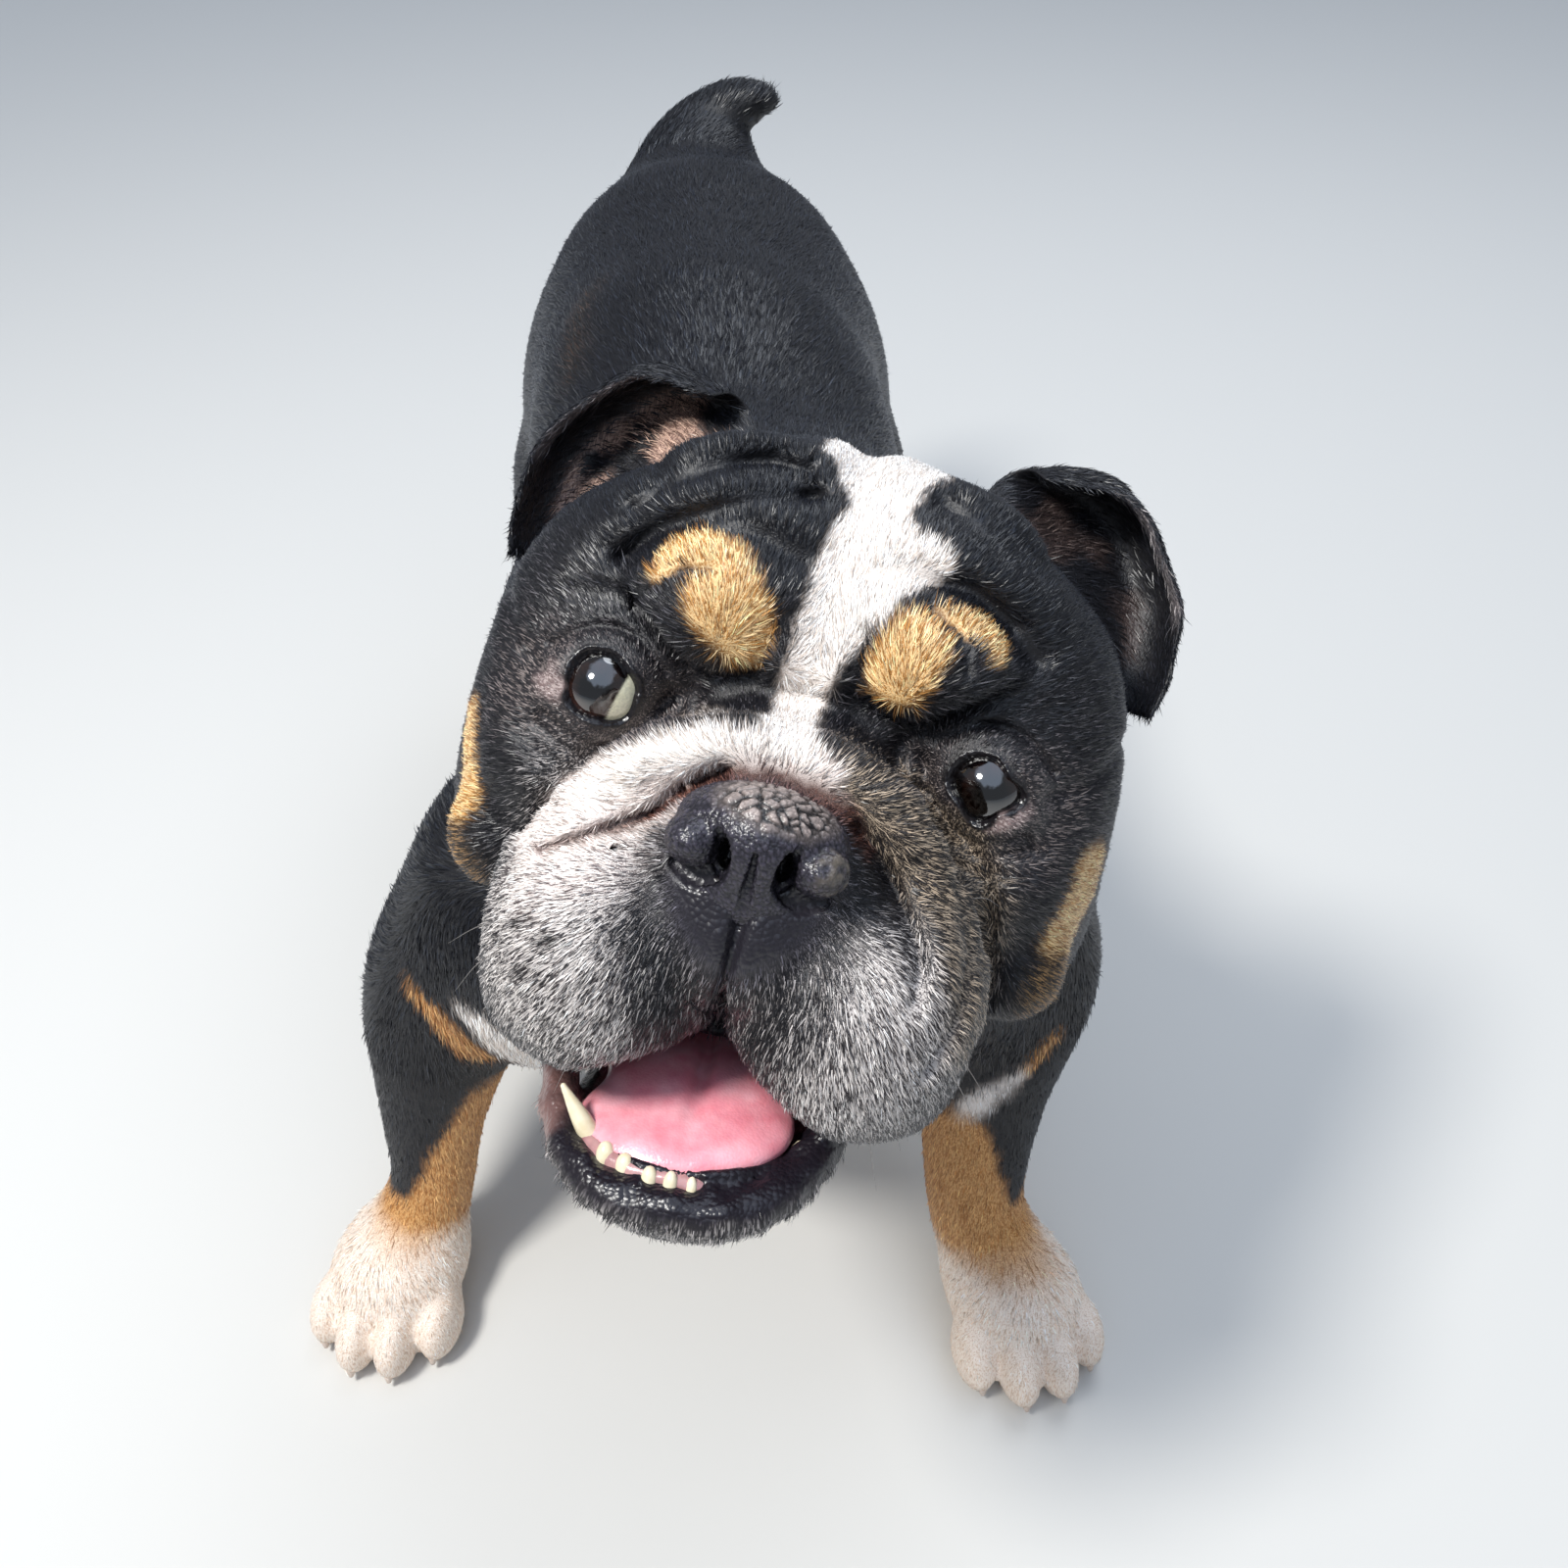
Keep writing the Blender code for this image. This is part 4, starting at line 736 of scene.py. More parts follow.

# Face markings as seen from the front, with painted shade along some creases, each laid over the last: coat, path
# (x, z), radii, and width of the edge.
FACE_MARKS = (
    (EYE_SKIN, ((-0.066, -0.002), (-0.040, -0.004)), (0.017, 0.015), 0.020),
    (EYE_SKIN, ((0.040, -0.004), (0.066, -0.004)), (0.014, 0.016), 0.020),
    (DARK_GRIZZLE, ((-0.052, -0.030), (-0.040, -0.060), (0.000, -0.056), (0.040, -0.058), (0.050, -0.036)),
     (0.014, 0.026, 0.024, 0.026, 0.014), 0.018),
    (RIGHT_BROWN, ((0.048, -0.016), (0.057, -0.030), (0.060, -0.050)), (0.009, 0.010, 0.010), 0.010),
    (GRIZZLE, ((-0.030, -0.034), (-0.042, -0.044), (-0.040, -0.060), (-0.026, -0.068)),
     (0.009, 0.014, 0.018, 0.012), 0.014),
    (GRIZZLE, ((0.030, -0.042), (0.040, -0.056), (0.036, -0.068), (0.028, -0.074)), (0.010, 0.014, 0.013, 0.008), 0.016),
    (PALE_GRIZZLE, ((-0.0500, -0.0400), (-0.0380, -0.0330), (-0.0250, -0.0290)), (0.0070, 0.0070, 0.0040), 0.014),
    (CENTRE_GRIZZLE, ((0.000, -0.036), (-0.001, -0.050), (0.000, -0.066)), (0.027, 0.022, 0.018), 0.016),
    (RIGHT_BROWN, ((0.014, 0.0000), (0.030, -0.0080), (0.0431, -0.0186), (0.0524, -0.0295), (0.0590, -0.042)),
     (0.006, 0.008, 0.008, 0.007, 0.006), 0.007),
    (ROLL, ((-0.0560, -0.0360), (-0.0510, -0.0290), (-0.0415, -0.0205), (-0.0310, -0.0125), (-0.0210, -0.0055),
            (-0.0080, -0.0005), (0.0040, 0.0010), (0.0110, 0.0000)),
     (0.004, 0.0068, 0.0076, 0.0076, 0.0068, 0.0060, 0.0052, 0.0030), 0.0035),
    (WHITE, ((-0.0450, -0.0205), (-0.0340, -0.0110), (-0.0225, -0.0025), (-0.0090, 0.0015), (0.0050, 0.0025)),
     (0.002, 0.0040, 0.0044, 0.0040, 0.0030), 0.004),
    (WHITE, ((-0.0010, 0.0040), (-0.0006, 0.0130), (0.0008, 0.0240), (0.0028, 0.0330), (0.0060, 0.0430),
             (0.0078, 0.0520), (0.0068, 0.0640), (0.0055, 0.0740), (0.0055, 0.0860)),
     (0.0060, 0.0058, 0.0072, 0.0094, 0.0118, 0.0125, 0.0080, 0.0120, 0.0165), 0.0030),
    (WHITE, ((0.0110, 0.0480), (0.0220, 0.0540), (0.0270, 0.0555)), (0.0085, 0.0055, 0.0020), 0.0030),
    (WHITE, ((-0.0080, 0.0790), (0.0190, 0.0790)), (0.0045, 0.0045), 0.0030),
    (ROLL, ((-0.0520, -0.0370), (-0.0420, -0.0290), (-0.0310, -0.0205), (-0.0200, -0.0120), (-0.0080, -0.0055),
            (0.0060, -0.0045), (0.0140, -0.0060)), (0.002, 0.0040, 0.0048, 0.0050, 0.0046, 0.0040, 0.002), 0.003),
    # Painted shade under the nose roll, laid over the crease's own reddish-brown skin.
    (CREASE_PINK_AND_SHADE, ((-0.0500, -0.0350), (-0.0400, -0.0285), (-0.0290, -0.0215), (-0.0195, -0.0120), (-0.008, -0.0060),
                 (0.006, -0.0055), (0.016, -0.0080), (0.0240, -0.0160)),
     (0.0004, 0.0010, 0.0014, 0.0022, 0.0030, 0.0032, 0.0028, 0.0012), 0.0030),
    (TAN, ((-0.0285, 0.0380), (-0.0240, 0.0310), (-0.0180, 0.0240)), (0.0085, 0.0100, 0.0066), 0.0035),
    (TAN, ((-0.0435, 0.0335), (-0.0405, 0.0405), (-0.0345, 0.0438), (-0.0260, 0.0415)),
     (0.0022, 0.0032, 0.0034, 0.0036), 0.0024),
    # Painted shade: black along the crease that cuts the tan brow spot on the dog's right.
    (FACE_BLACK, ((-0.0440, 0.0290), (-0.0405, 0.0325), (-0.0365, 0.0358), (-0.0300, 0.0384)),
     (0.0012, 0.0022, 0.0018, 0.0008), 0.0020),
    (TAN, ((0.0225, 0.0255), (0.0250, 0.0330)), (0.0082, 0.0082), 0.0035),
    (TAN, ((0.0290, 0.0415), (0.0370, 0.0412), (0.0435, 0.0378), (0.0445, 0.0345)), (0.0026, 0.0036, 0.0036, 0.0026),
     0.0024),
    # Painted shade: black along the crease that cuts the tan brow spot on the dog's left.
    (FACE_BLACK, ((0.0262, 0.0425), (0.0322, 0.0385), (0.0352, 0.0330)), (0.0006, 0.0014, 0.0018), 0.0018),
)
WHISKER_SPOTS = (
    (-0.0494, -0.0498), (-0.0465, -0.0605), (-0.0409, -0.0510), (-0.0299, -0.0570), (-0.0371, -0.0695),
    (-0.0259, -0.0660), (-0.0400, -0.0600), (0.0300, -0.0560), (0.0390, -0.0600), (0.0340, -0.0690), (0.0450, -0.0530),
)
# Head markings out of the front view, and body markings: coat, path in the world's frame, radii, edge.
SIDE_MARKS = (
    (TAN, ((-0.0900, 0.0240, -0.0230), (-0.0870, 0.0200, -0.0400)), (0.0100, 0.0095), 0.006),
    (TAN, ((0.0890, 0.0180, -0.0190), (0.0885, 0.0200, -0.0330)), (0.0115, 0.0135), 0.006),
    (BROWN, ((-0.0840, 0.0200, -0.0580), (-0.0820, 0.0300, -0.0620)), (0.0110, 0.0100), 0.008),
    (BROWN, ((0.0860, 0.0180, -0.0500), (0.0880, 0.0280, -0.0560)), (0.0110, 0.0120), 0.008),
)
BODY_MARKS = (
    (LEG_TAN, ((-0.113, -0.143, 0.182), (-0.103, -0.151, 0.172), (-0.095, -0.155, 0.158), (-0.088, -0.157, 0.146)),
     (0.003, 0.005, 0.007, 0.008), 0.005),
    (LEG_TAN, ((0.151, -0.150, 0.143), (0.143, -0.156, 0.140), (0.131, -0.161, 0.131)), (0.002, 0.0035, 0.0035), 0.004),
    (WHITE, ((-0.094, -0.155, 0.184), (-0.084, -0.162, 0.176), (-0.073, -0.168, 0.163), (-0.040, -0.190, 0.135),
             (0.012, -0.200, 0.130), (0.066, -0.190, 0.116), (0.096, -0.173, 0.110), (0.116, -0.165, 0.120),
             (0.130, -0.161, 0.130)),
     (0.003, 0.008, 0.014, 0.040, 0.056, 0.030, 0.010, 0.0045, 0.0030), 0.006),
    (WHITE, ((0.012, -0.110, 0.110), (0.012, 0.060, 0.105), (0.010, 0.130, 0.120)), (0.050, 0.040, 0.030), 0.020),
    (TAN, ((-0.070, -0.166, 0.312), (-0.071, -0.160, 0.292)), (0.010, 0.012), 0.010),
    (TAN, ((0.148, -0.162, 0.240), (0.156, -0.150, 0.222)), (0.013, 0.014), 0.010),
    (SMUDGE, ((-0.045, 0.060, 0.335), (-0.040, 0.112, 0.346)), (0.008, 0.010), 0.020),
)


class Paint:
    """Colours of the dark hairs, the light hairs and the skin, and the share of light hairs, at some points."""

    def __init__(self, count, coat):
        self.dark, self.light = np.tile(linear(coat[0]), (count, 1)), np.tile(linear(coat[1]), (count, 1))
        self.share, self.skin = np.full(count, coat[2]), np.tile(linear(coat[3]), (count, 1))

    def lay(self, weight, coat):
        w = np.clip(weight, 0, 1)[:, None]
        self.dark += (linear(coat[0]) - self.dark) * w
        self.light += (linear(coat[1]) - self.light) * w
        self.share += (coat[2] - self.share) * w[:, 0]
        self.skin += (linear(coat[3]) - self.skin) * w


def painted(points):
    """The markings at some points, their edges feathered by noise as hairs of two colours mingle."""
    paint = Paint(len(points), BLACK)
    fine = 0.0016 * np.stack([rumple(points, 0.0040, k) for k in (14, 15, 16)], 1)
    place = points + fine + 0.004 * np.stack([rumple(points, 0.022, k) for k in (11, 12, 13)], 1)
    x, y, z = place.T
    left = x > 0
    for coat, path, radii, edge in BODY_MARKS:
        paint.lay(stroke(place, path, radii, edge), coat)
    # Front legs: black runs down the outside to a point, tan inside and all round the wrist, and a white paw
    front = (y < -0.04) & (np.abs(x) > 0.055) & (z < 0.135)
    inner = np.where(left, 0.1145 + 0.45 * (0.109 - z) - x, x + 0.097 + 0.62 * (0.117 - z))
    top = np.where(left, 0.110, 0.117) - z
    tan = np.maximum(eased(0.5 + inner / 0.006) * eased(0.5 + top / 0.010), eased(0.5 + (0.066 - z) / 0.006))
    paint.lay(front * tan, LEG_TAN)
    wrist = np.where(left, 0.046, 0.0475 + 0.25 * (-0.127 - x)) - z
    paint.lay(front * eased(0.5 + wrist / 0.016), PAW_WHITE)
    # Hind legs, on the same plan
    hind = (y > 0.11) & (z < 0.17)
    inside = eased(0.5 + (0.072 - np.abs(x - 0.012)) / 0.008) * eased(0.5 + (0.135 - z) / 0.012)
    paint.lay(hind * np.maximum(inside, eased(0.5 + (0.072 - z) / 0.012)), LEG_TAN)
    paint.lay(hind * eased(0.5 + (0.034 - z) / 0.014), PAW_WHITE)
    near = np.abs(into_head(points)).max(1) < 0.16
    if near.any():
        paint_face(paint, points, near)
    return paint


def front_stroke(local, path, radii, soft):
    """A stroke drawn on the face as it is seen from the front."""
    return stroke(local * (1, 0, 1), np.insert(np.array(path), 1, 0, axis=1), radii, soft)


def paint_face(whole, points, near):
    """The face's markings in the head's frame, with painted shade in the nostril holes and along some creases."""
    local = into_head(points[near])
    rough = 0.0010 * np.stack([rumple(local, 0.0030, k) for k in (24, 25, 26)], 1)
    local = local + rough + 0.0009 * np.stack([rumple(local, 0.009, k) for k in (21, 22, 23)], 1)
    paint = Paint(len(local), BLACK)
    for name in ("dark", "light", "share", "skin"):
        setattr(paint, name, getattr(whole, name)[near])
    ahead = eased((0.062 - local[:, 1]) / 0.02)
    paint.lay(ahead * eased((0.050 - local[:, 2]) / 0.03), FACE_BLACK)
    for coat, path, radii, soft in FACE_MARKS:
        crown = eased((0.105 - local[:, 1]) / 0.02) if coat is WHITE else ahead
        paint.lay(crown * front_stroke(local, path, radii, soft), coat)
    for across, up in WHISKER_SPOTS:
        paint.lay(0.85 * ahead * front_stroke(local, ((across, up), (across + 0.001, up)), (0.0012,) * 2, 0.0024), WHISKER_BED)
    for coat, path, radii, edge in SIDE_MARKS:
        paint.lay(stroke(local, path, radii, edge), coat)
    jaw = mirrored(into_jaw(local))
    paint.lay(eased((-0.088 - jaw[:, 2]) / 0.01) * (local[:, 1] < 0.03), DARK_GRIZZLE)
    folded = both(local)
    paint.lay(stroke(folded, NOSE_WEDGE, (0.0215, 0.0165, 0.0070), 0.010), LEATHER)
    # Painted shade: the skin inside the nostril holes is laid near black.
    hole = ellipsoid(folded, NOSTRIL[0], np.array(NOSTRIL[1]) * (1.9, 1.4, 1.6), NOSTRIL[2])
    paint.lay(eased(0.5 - hole / 0.002), LIDS_AND_NOSTRIL_SHADE)
    paint.lay(stroke(local, ((-0.0654, -0.008, 0.0000), (-0.0705, -0.004, 0.0005)), (0.0042, 0.0046), 0.006), CORNER_SKIN)
    paint.lay(stroke(local, ((0.0541, -0.0085, -0.0097), (0.0599, -0.0085, -0.0050), (0.0648, -0.0080, -0.0004)),
                     (0.0014, 0.0028, 0.0020), 0.0030), CORNER_SKIN)
    for side in (-1, 1):
        size, beyond = lid_margin(local, side)
        paint.lay(eased(0.5 + (0.0016 - beyond) / 0.0012) * (size < 0.019), LIDS_AND_NOSTRIL_SHADE)
    paint.lay(spot(local, MOUTH[0], np.array(MOUTH[1]) * (1.02, 1.0, 1.02), 0.06), LIP)
    paint.lay(spot(local, (0, -0.014, -0.0955), (0.027, 0.036, 0.0150), 0.2), MOUTH_PINK)
    lip = np.array(LOWER_LIP_PATH) + (0, -0.0004, 0.0030)
    paint.lay(stroke(jaw, lip, np.array(LOWER_LIP_RADII) * 0.98, 0.004), LIP)
    paint.lay(0.8 * stroke(into_jaw(local), ((-0.0360, -0.0230, -0.0950), (-0.0350, -0.0360, -0.1020)), (0.0070, 0.0060),
                           0.006), LIP_FOLD)
    for name in ("dark", "light", "share", "skin"):
        getattr(whole, name)[near] = getattr(paint, name)


paint = painted(skin_points)
hairless = np.zeros(len(skin_points))
face_near = np.abs(into_head(skin_points)).max(1) < 0.16
hairless[face_near] = bare(skin_points[face_near])
bald = hairless[:, None]
cover = 0.70 * (1 - bald)
give(skin, "dark_hair", paint.skin + (paint.dark - paint.skin) * cover)
give(skin, "light_hair", paint.skin + (paint.light - paint.skin) * cover)
give(skin, "share", paint.share)
give(skin, "wet", hairless)
NOSE_TIP = np.array((0.0, -0.080, -0.012))


def hair_flow(points):
    """Coordinates in which a noise makes streaks along the lie of the coat: an eighth as long that way. On the
    head they fan out from the nose, on the legs they run down, and elsewhere they run back."""
    local = into_head(points)
    away = local - NOSE_TIP
    reach = np.linalg.norm(away, axis=1)[:, None]
    fan = away / reach * (0.075 + reach / 8)
    leg = eased((0.150 - points[:, 2]) / 0.03)[:, None]
    body = points * (1, 0.125, 1) * (1 - leg) + points * (1, 1, 0.125) * leg
    head = ((np.abs(local).max(1) < 0.16) * eased((0.100 - local[:, 1]) / 0.01))[:, None]
    return body * (1 - head) + fan * head


give(skin, "flow", hair_flow(skin_points))


def add(material, kind, settings=(), links=(), sockets=()):
    """A node with its settings and socket values, each link given as (socket to fill, node, its output)."""
    made = material.node_tree.nodes.new(kind)
    for name, value in settings:
        setattr(made, name, value)
    for name, value in sockets:
        made.inputs[name].default_value = value
    for name, other, output in links:
        material.node_tree.links.new(other.outputs[output], made.inputs[name])
    return made


def new_material(name):
    """A material with its Principled shader ready to fill."""
    material = bpy.data.materials.new(name)
    material.use_nodes = True
    return material, material.node_tree.nodes["Principled BSDF"]


def wire(material, node, output, shader, socket):
    material.node_tree.links.new(node.outputs[output], shader.inputs[socket])


def dog_skin():
    """Dog's skin under its shortest fur: fine hairs 0.5 mm apart, dark and light in the share of each marking, and
    wet and smooth where it is bare."""
    material, shader = new_material("dog_skin")
    dark = add(material, "ShaderNodeAttribute", [("attribute_name", "dark_hair")])
    light = add(material, "ShaderNodeAttribute", [("attribute_name", "light_hair")])
    share = add(material, "ShaderNodeAttribute", [("attribute_name", "share")])
    flow = add(material, "ShaderNodeAttribute", [("attribute_name", "flow")])
    wet = add(material, "ShaderNodeAttribute", [("attribute_name", "wet")])
    place = add(material, "ShaderNodeTexCoord")
    hairs = add(material, "ShaderNodeTexNoise", links=[("Vector", flow, "Vector")],
                sockets=[("Scale", 1900.0), ("Detail", 2.0)])
    pores = add(material, "ShaderNodeTexVoronoi", links=[("Vector", place, "Object")], sockets=[("Scale", 700.0)])
    level = add(material, "ShaderNodeMath", [("operation", "MULTIPLY_ADD")], [(0, share, "Fac")], [(1, 3.0), (2, -4.5)])
    light_hairs = add(material, "ShaderNodeMath", [("operation", "MULTIPLY_ADD"), ("use_clamp", True)],
                      [(0, hairs, "Fac"), (2, level, "Value")], [(1, 7.0)])
    colour = add(material, "ShaderNodeMixRGB",
                 links=[("Fac", light_hairs, "Value"), ("Color1", dark, "Color"), ("Color2", light, "Color")])
    pebbles = add(material, "ShaderNodeMath", [("operation", "SUBTRACT")], [(1, pores, "Distance")], [(0, 1.0)])
    height = add(material, "ShaderNodeMixRGB",
                 links=[("Fac", wet, "Fac"), ("Color1", hairs, "Fac"), ("Color2", pebbles, "Value")])
    bump = add(material, "ShaderNodeBump", links=[("Height", height, "Color")],
               sockets=[("Strength", 0.6), ("Distance", 0.0005)])
    rough = add(material, "ShaderNodeMapRange", links=[("Value", wet, "Fac")],
                sockets=[("To Min", 0.50), ("To Max", 0.30)])
    wire(material, colour, "Color", shader, "Base Color")
    wire(material, rough, "Result", shader, "Roughness")
    wire(material, bump, "Normal", shader, "Normal")
    return material


skin.data.materials.append(dog_skin())
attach(skin, "root")
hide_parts("torso", "neck", "head", "lower_jaw", "tail", *LEGS)

# The coat: short fur that lies flat, as thousands of thin tapered tufts. Each is two segments of a blade, rooted
# in the skin and combed along the lie of the coat: back from the nose over the face, along the body and down the
# legs. They are smallest on the face and feet.
SEED = 5
rng = np.random.default_rng(SEED)


def lie_of_coat(points, normals):
    """The way the hair points, flat on the skin: away from the nose on the head, back along the body, down the
    legs and chest, and along the tail."""
    local = into_head(points)
    away = local - NOSE_TIP
    away[:, 2] -= 0.5 * np.maximum(0, -0.030 - local[:, 2])
    away /= np.linalg.norm(away, axis=1)[:, None]
    head_lie = away @ HEAD_AXES.T
    own = points - BODY_SHIFT
    body_lie = np.stack([0 * own[:, 0], np.full(len(own), 1.0), -0.45 - 0 * own[:, 0]], 1)
    leg = eased((0.165 - own[:, 2]) / 0.05)[:, None]
    body_lie = body_lie * (1 - leg) + np.array((0, -0.10, -1.0)) * leg
    chest = (eased((-0.150 - own[:, 1]) / 0.04) * eased((0.26 - own[:, 2]) / 0.05))[:, None]
    body_lie = body_lie * (1 - chest) + np.array((0, -0.15, -1.0)) * chest
    toes = eased((0.030 - own[:, 2]) / 0.015)[:, None]
    body_lie = body_lie * (1 - toes) + np.array((0, -1.0, -0.3)) * toes
    tail = eased((own[:, 1] - 0.235) / 0.02)[:, None] * (own[:, 2] > 0.30)[:, None]
    body_lie = body_lie * (1 - tail) + np.array((0.45, 0.6, 0.45)) * tail
    near = (np.abs(local).max(1) < 0.16) * eased((0.105 - local[:, 1]) / 0.04)
    lie = body_lie * (1 - near[:, None]) + head_lie * near[:, None]
    lie += 0.22 * np.stack([rumple(points, 0.030, k) for k in (31, 32, 33)], 1)
    lie -= normals * (lie * normals).sum(1)[:, None]
    return lie / np.maximum(np.linalg.norm(lie, axis=1), 1e-6)[:, None]


def face_normals(points, faces):
    a, b, c = points[faces].transpose(1, 0, 2)
    cross = np.cross(b - a, c - a)
    size = np.linalg.norm(cross, axis=1)
    return cross / np.maximum(size, 1e-12)[:, None], size / 2


def vertex_normals(points, faces):
    """The mean of the faces' normals round each vertex, weighted by area."""
    normals, areas = face_normals(points, faces)
    total = np.zeros_like(points)
    for k in range(3):
        for axis in range(3):
            total[:, axis] += np.bincount(faces[:, k], normals[:, axis] * areas, len(points))
    return total / np.maximum(np.linalg.norm(total, axis=1), 1e-12)[:, None]


def scattered(points, faces, weights, count):
    """Points on the faces, as many on each as its area times its weight asks for, the face each lies on, and its shares
    of that face's corners.
    """
    _, areas = face_normals(points, faces)
    steps = np.cumsum(areas * weights)
    picks = np.searchsorted(steps, (np.arange(count) + rng.random(count)) * steps[-1] / count)
    picks = np.minimum(picks, len(faces) - 1)
    u, v = rng.random((2, count))
    flip = u + v > 1
    u, v = np.where(flip, 1 - u, u), np.where(flip, 1 - v, v)
    share = np.stack([1 - u - v, u, v], 1)
    return (points[faces[picks]] * share[:, :, None]).sum(1), picks, share


def unwrapped(points, normals, low, high):
    """Places on six flat views of the skin, one for each way that it faces, laid out three by two."""
    axis = np.abs(normals).argmax(1)
    view = axis * 2 + (normals[np.arange(len(points)), axis] > 0)
    share = (points - low) / np.maximum(high - low, 1e-6)
    across = np.take_along_axis(share, ((axis + 1) % 3)[:, None], 1)[:, 0]
    along = np.take_along_axis(share, ((axis + 2) % 3)[:, None], 1)[:, 0]
    return np.stack([(view % 3 + 0.02 + 0.96 * across) / 3, (view // 3 + 0.02 + 0.96 * along) / 2], 1)


PATCH = 0.0015
PATCH_CORNERS = np.array(((-PATCH, -PATCH), (PATCH, -PATCH), (-PATCH, 0), (PATCH, 0), (0, PATCH)))
BLADE = np.array(((0, 1, 3), (0, 3, 2), (2, 3, 4)))


def tufts(name, roots, normals, lie, length, width, lift, colours, material):
    """Tapered blades as one mesh. A blade is rooted just under the skin, rises by lift times its length at the
    middle, bows back down to its tip, and is rolled a little about its own line."""
    count = len(roots)
    side = np.cross(normals, lie)
    roll = rng.normal(0, 0.45, count)[:, None]
    side = side * np.cos(roll) + normals * np.sin(roll)
    half = side * (width / 2)[:, None]
    long, high = length[:, None], (length * lift)[:, None]
    sway = side * (length * rng.normal(0, 0.07, count))[:, None]
    base = roots - normals * 0.0003
    mid = roots + lie * long * 0.5 + normals * high * 0.85 + sway
    tip = roots + lie * long * 0.97 + normals * high + sway * 2.2
    places = np.stack([base - half, base + half, mid - half * 0.8, mid + half * 0.8, tip], 1).reshape(-1, 3)
    places[:, 2] = np.maximum(places[:, 2], 0.0002)
    faces = (np.arange(count)[:, None, None] * 5 + BLADE[None]).reshape(-1, 3)
    made = mesh_object(name, places, faces)
    give(made, "coat", np.repeat(colours, 5, axis=0))
    uv = unwrapped(roots, normals, roots.min(0), roots.max(0))
    corners = (uv[:, None] + PATCH_CORNERS[None]).reshape(-1, 2)[faces.ravel()]
    layer = made.data.uv_layers.new(name="OFBake")
    layer.data.foreach_set("uv", corners.astype(np.float32).ravel())
    made.data.materials.append(material)
    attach(made, "root")
    return made


def dog_hair():
    """Short dog hair: smooth keratin with a soft gloss, dark hairs catching a cool light along their length."""
    material, shader = new_material("dog_hair")
    coat = add(material, "ShaderNodeAttribute", [("attribute_name", "coat")])
    wire(material, coat, "Color", shader, "Base Color")
    shader.inputs["Roughness"].default_value = 0.38
    shader.inputs["Specular IOR Level"].default_value = 0.5
    shader.inputs["Sheen Weight"].default_value = 0.06
    shader.inputs["Sheen Tint"].default_value = (0.62, 0.70, 0.90, 1.0)
    return material


hair = dog_hair()


def hair_colours(paint):
    """Each tuft is dark or light by chance, in the share that its marking gives, and a little paler or deeper."""
    count = len(paint.share)
    clump = 0.14 * rng.normal(0, 1, count)
    light = rng.random(count) < np.clip(paint.share + clump * 0.4, 0, 1)
    colour = np.where(light[:, None], paint.light, paint.dark)
    return np.clip(colour * np.exp(rng.normal(0, 0.22, count))[:, None], 0, 1)


def zone_of(local, own):
    """Which stretch of coat a point belongs to."""
    zone = np.full(len(local), "torso_right", dtype=object)
    zone[own[:, 0] > 0.004] = "torso_left"
    zone[(own[:, 1] < -0.120) & (own[:, 2] < 0.235)] = "chest"
    zone[(own[:, 1] < 0.0) & (own[:, 2] < 0.135)] = "forelegs"
    zone[(own[:, 1] >= 0.0) & (own[:, 2] < 0.165)] = "hindlegs"
    zone[(own[:, 1] > 0.235) & (own[:, 2] > 0.315)] = "tail"
    head = (np.abs(local).max(1) < 0.165) & (local[:, 1] < 0.135) & (local[:, 2] > -0.128)
    zone[head] = "neck"
    face = head & (local[:, 1] < 0.092)
    zone[face] = "face_right"
    zone[face & (local[:, 0] > 0)] = "face_left"
    muzzle = face & (local[:, 1] < 0.004) & (local[:, 2] < 0.012) & (np.abs(local[:, 0]) < 0.070)
    zone[muzzle] = "muzzle"
    zone[face & (into_jaw(local)[:, 2] < -0.090) & (local[:, 1] < 0.06)] = "jaw"
    return zone


# Stretch of coat: number of tufts, mean length and width, and the kind of coat, which sets how far its tufts lift.
COAT = {
    "muzzle": (66000, 0.0034, 0.00026, "face_coat"),
    "face_left": (66000, 0.0040, 0.00029, "face_coat"),
    "face_right": (66000, 0.0040, 0.00029, "face_coat"),
    "jaw": (15000, 0.0034, 0.00026, "face_coat"),
    "neck": (44000, 0.0065, 0.00048, "black_coat"),
    "torso_left": (62000, 0.0080, 0.00065, "black_coat"),
    "torso_right": (62000, 0.0080, 0.00065, "black_coat"),
    "chest": (24000, 0.0070, 0.00055, "black_coat"),
    "forelegs": (34000, 0.0046, 0.00042, "leg_coat"),
    "hindlegs": (26000, 0.0055, 0.00050, "leg_coat"),
    "tail": (7000, 0.0060, 0.00050, "black_coat"),
}
skin_normals = vertex_normals(skin_points, skin_faces)
centres = skin_points[skin_faces].mean(1)
zones = zone_of(into_head(centres), centres - BODY_SHIFT)
sole_faces = skin_points[skin_faces][:, :, 2].max(1) < SOLE + 0.0015
for zone, (count, length, width, slot) in COAT.items():
    weights = (zones == zone) * (1 - hairless[skin_faces].mean(1)) ** 2 * ~sole_faces
    roots, picks, share = scattered(skin_points, skin_faces, weights, count)
    normals = (skin_normals[skin_faces[picks]] * share[:, :, None]).sum(1)
    normals /= np.linalg.norm(normals, axis=1)[:, None]
    lie = lie_of_coat(roots, normals)
    shorter = 1 - 0.55 * eased((0.028 - np.linalg.norm(both(into_head(roots)) - EYE_PLACE, axis=1)) / 0.014)
    feet = 1 - 0.45 * eased((0.040 - roots[:, 2]) / 0.02)
    lengths = length * shorter * feet * np.exp(rng.normal(0, 0.20, count))
    widths = width * feet * np.exp(rng.normal(0, 0.15, count))
    lifts = (0.07 + 0.06 * rng.random(count)) * (1 if slot == "face_coat" else 0.6)
    tufts("coat_" + zone, roots, normals, lie, lengths, widths, lifts, hair_colours(painted(roots)), hair)
